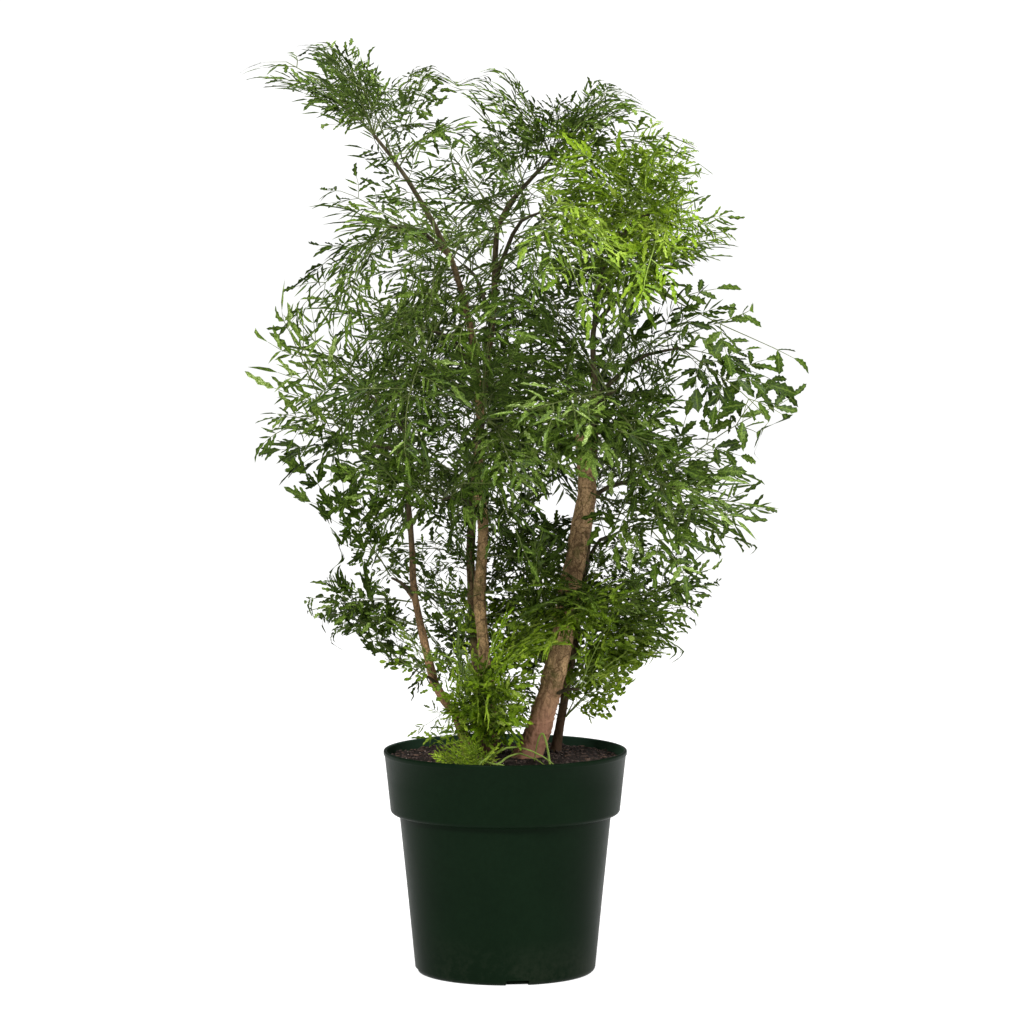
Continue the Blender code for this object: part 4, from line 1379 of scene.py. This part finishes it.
def model_ground_growth(material):
    """The lime tuft at the front of the middle cane's foot, and the fallen leaf stalks beside it."""
    rng = np.random.default_rng(5)
    growth = Foliage()
    for _ in range(TUFT_LEAVES):
        x, y = rng.normal(-0.036, 0.013), rng.normal(-0.088, 0.006)
        foot = np.array((x, y, mix_height(x, y) - 0.001))
        pointing = np.array((rng.normal(0, 0.7), rng.normal(-0.1, 0.4), 1.0))
        model = LEAVES["young"][rng.integers(len(LEAVES["young"]))]
        place = leaf_frame(foot, pointing, rng.normal(0, 50))
        laid = set_leaf(model, place, rng.uniform(0.022, 0.042), (0.2, 0.2, 0.0), False)
        laid[:, 2] = np.maximum(laid[:, 2], foot[2] + 0.0005)
        growth.add(laid, model, False, rng.normal(0.62, 0.14), rng.uniform(0.8, 1.0))
    for start, end, rise in FALLEN_STALKS:
        shares = np.linspace(0.0, 1.0, 14)
        path = np.outer(1 - shares, (*start, 0.0)) + np.outer(shares, (*end, 0.0))
        path[:, 1] += 0.004 * np.sin(5 * shares)
        path[:, 2] = [mix_height(x, y) + 0.0016 for x, y, _ in path] + rise * np.sin(math.pi * shares) ** 0.8
        growth.add(*bare_stalk(path, 0.0013, 0.0006), False, 0.5, 0.75)
    return growth.make("tuft_and_fallen_stalks", material)


def model_leaves(material):
    """One detailed leaf for each CAD leaf, in its place, and the rest of the crown's leaves between them."""
    pieces = []
    crowd = Crowd()
    for number, node in enumerate(LEAF_NODES):
        rng = np.random.default_rng(1000 + number)
        place, length = cad_leaf_place(node)
        middle = place[:3, 3] + place[:3, 0] * length * 0.6
        kind = kind_at(middle, rng)
        model = LEAVES[kind][rng.integers(len(LEAVES[kind]))]
        youth = youth_at(middle)
        bend = (LEAF_DROOP, rng.uniform(0.0, 0.15), rng.normal(0, 0.15))
        laid = pressed(set_leaf(model, place, length, bend, False))
        crowd.add(laid)
        leaf = Foliage()
        tone = leaf_tone(rng, kind in DARK_KINDS)
        leaf.add(laid, model, False, tone, youth if youth > 0.25 else 0.0)
        piece = leaf.make(f"{node}_cut", material)
        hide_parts(node)
        pieces.append(piece)
    rng = np.random.default_rng(77)
    wood = wood_places()
    leaves = [grow_clump_leaf(rng, wood, clump) for clump in CLUMPS for _ in range(clump[2])]
    for _, leaf in leaves:
        crowd.add(leaf[0])
    for _ in range(EXTRA_LEAVES):
        leaves.append(grow_leaf(rng, wood, crowd))
        crowd.add(leaves[-1][1][0])
    grown = {}
    for cane, (laid, model, mirrored, youth, _) in leaves:
        branch = grown.setdefault(cane, [Foliage()])
        if len(branch[-1].parts) == LEAVES_A_PIECE:
            branch.append(Foliage())
        tone = leaf_tone(rng, any(model in LEAVES[kind] for kind in DARK_KINDS))
        branch[-1].add(laid, model, mirrored, tone, youth)
    for cane, branches in sorted(grown.items()):
        for i, branch in enumerate(branches):
            pieces.append(branch.make(f"{CANES[cane]}_foliage_{i + 1:02d}", material))
    return pieces


# ---------------------------------------------------------------- staging
def make_stage():
    deselect_all()
    bpy.ops.mesh.primitive_plane_add(size=60.0)
    floor = bpy.context.object
    floor.name = "floor"
    wear(floor, floor_material())
    world = bpy.data.worlds.new("studio")
    bpy.context.scene.world = world
    world.use_nodes = True
    nodes = Nodes(world.node_tree)
    seen = nodes.add("ShaderNodeLightPath").outputs["Is Camera Ray"]
    background = world.node_tree.nodes["Background"]
    background.inputs["Color"].default_value = (1.0, 1.0, 1.0, 1.0)
    nodes.feed(background.inputs["Strength"], nodes.map_range(seen, 0.0, 1.0, AMBIENT, BACKDROP))
    for name, place, target, size, power in (
        ("key_softbox", (-1.4, -2.8, 2.6), (0.0, 0.0, 0.55), 1.1, 150.0),
        ("side_softbox", (2.4, -1.4, 1.8), (0.0, 0.0, 0.5), 1.2, 55.0),
        ("top_softbox", (0.2, -0.3, 3.0), (0.0, 0.0, 0.6), 1.2, 115.0),
    ):
        lamp = bpy.data.lights.new(name, "AREA")
        lamp.shape = "DISK"
        lamp.size = size
        lamp.energy = power
        obj = bpy.data.objects.new(name, lamp)
        obj.location = place
        aim = Vector(target) - Vector(place)
        obj.rotation_euler = aim.to_track_quat("-Z", "Y").to_euler()
        bpy.context.scene.collection.objects.link(obj)
    camera_data = bpy.data.cameras.new("camera")
    camera_data.lens = LENS_MM
    camera_data.sensor_width = 36.0
    camera = bpy.data.objects.new("camera", camera_data)
    camera.location = CAMERA_PLACE
    aim = Vector(CAMERA_TARGET) - camera.location
    camera.rotation_euler = aim.to_track_quat("-Z", "Y").to_euler()
    bpy.context.scene.collection.objects.link(camera)
    bpy.context.scene.camera = camera
    bpy.context.scene.view_settings.view_transform = "Standard"


# ---------------------------------------------------------------- the whole plant
make_stage()
pieces = [model_pot(), *model_mix()]
# Each cane's bark: light, dark and red at the foot. The two rear canes' colours are the front canes' scaled
# darker: painted shade for canes standing behind.
BARKS = {
    "right_cane": ((0.310, 0.200, 0.100), (0.090, 0.050, 0.024), (0.330, 0.165, 0.105)),
    "right_rear_cane": ((0.110, 0.075, 0.038), (0.028, 0.019, 0.009), (0.080, 0.045, 0.026)),
    "middle_cane": ((0.280, 0.180, 0.085), (0.064, 0.040, 0.018), (0.150, 0.088, 0.046)),
    "middle_rear_cane": ((0.130, 0.088, 0.042), (0.032, 0.022, 0.010), (0.090, 0.050, 0.028)),
    "left_cane": ((0.230, 0.135, 0.066), (0.058, 0.034, 0.016), (0.160, 0.092, 0.048)),
}
for cane in CANES:
    pieces.append(model_cane(cane, bark_material(f"bark_of_{cane}", *BARKS[cane])))
LEAF_MATERIAL = leaf_material()
pieces += model_leaves(LEAF_MATERIAL)
pieces.append(model_ground_growth(LEAF_MATERIAL))
for piece in pieces:
    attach(piece, BODY)
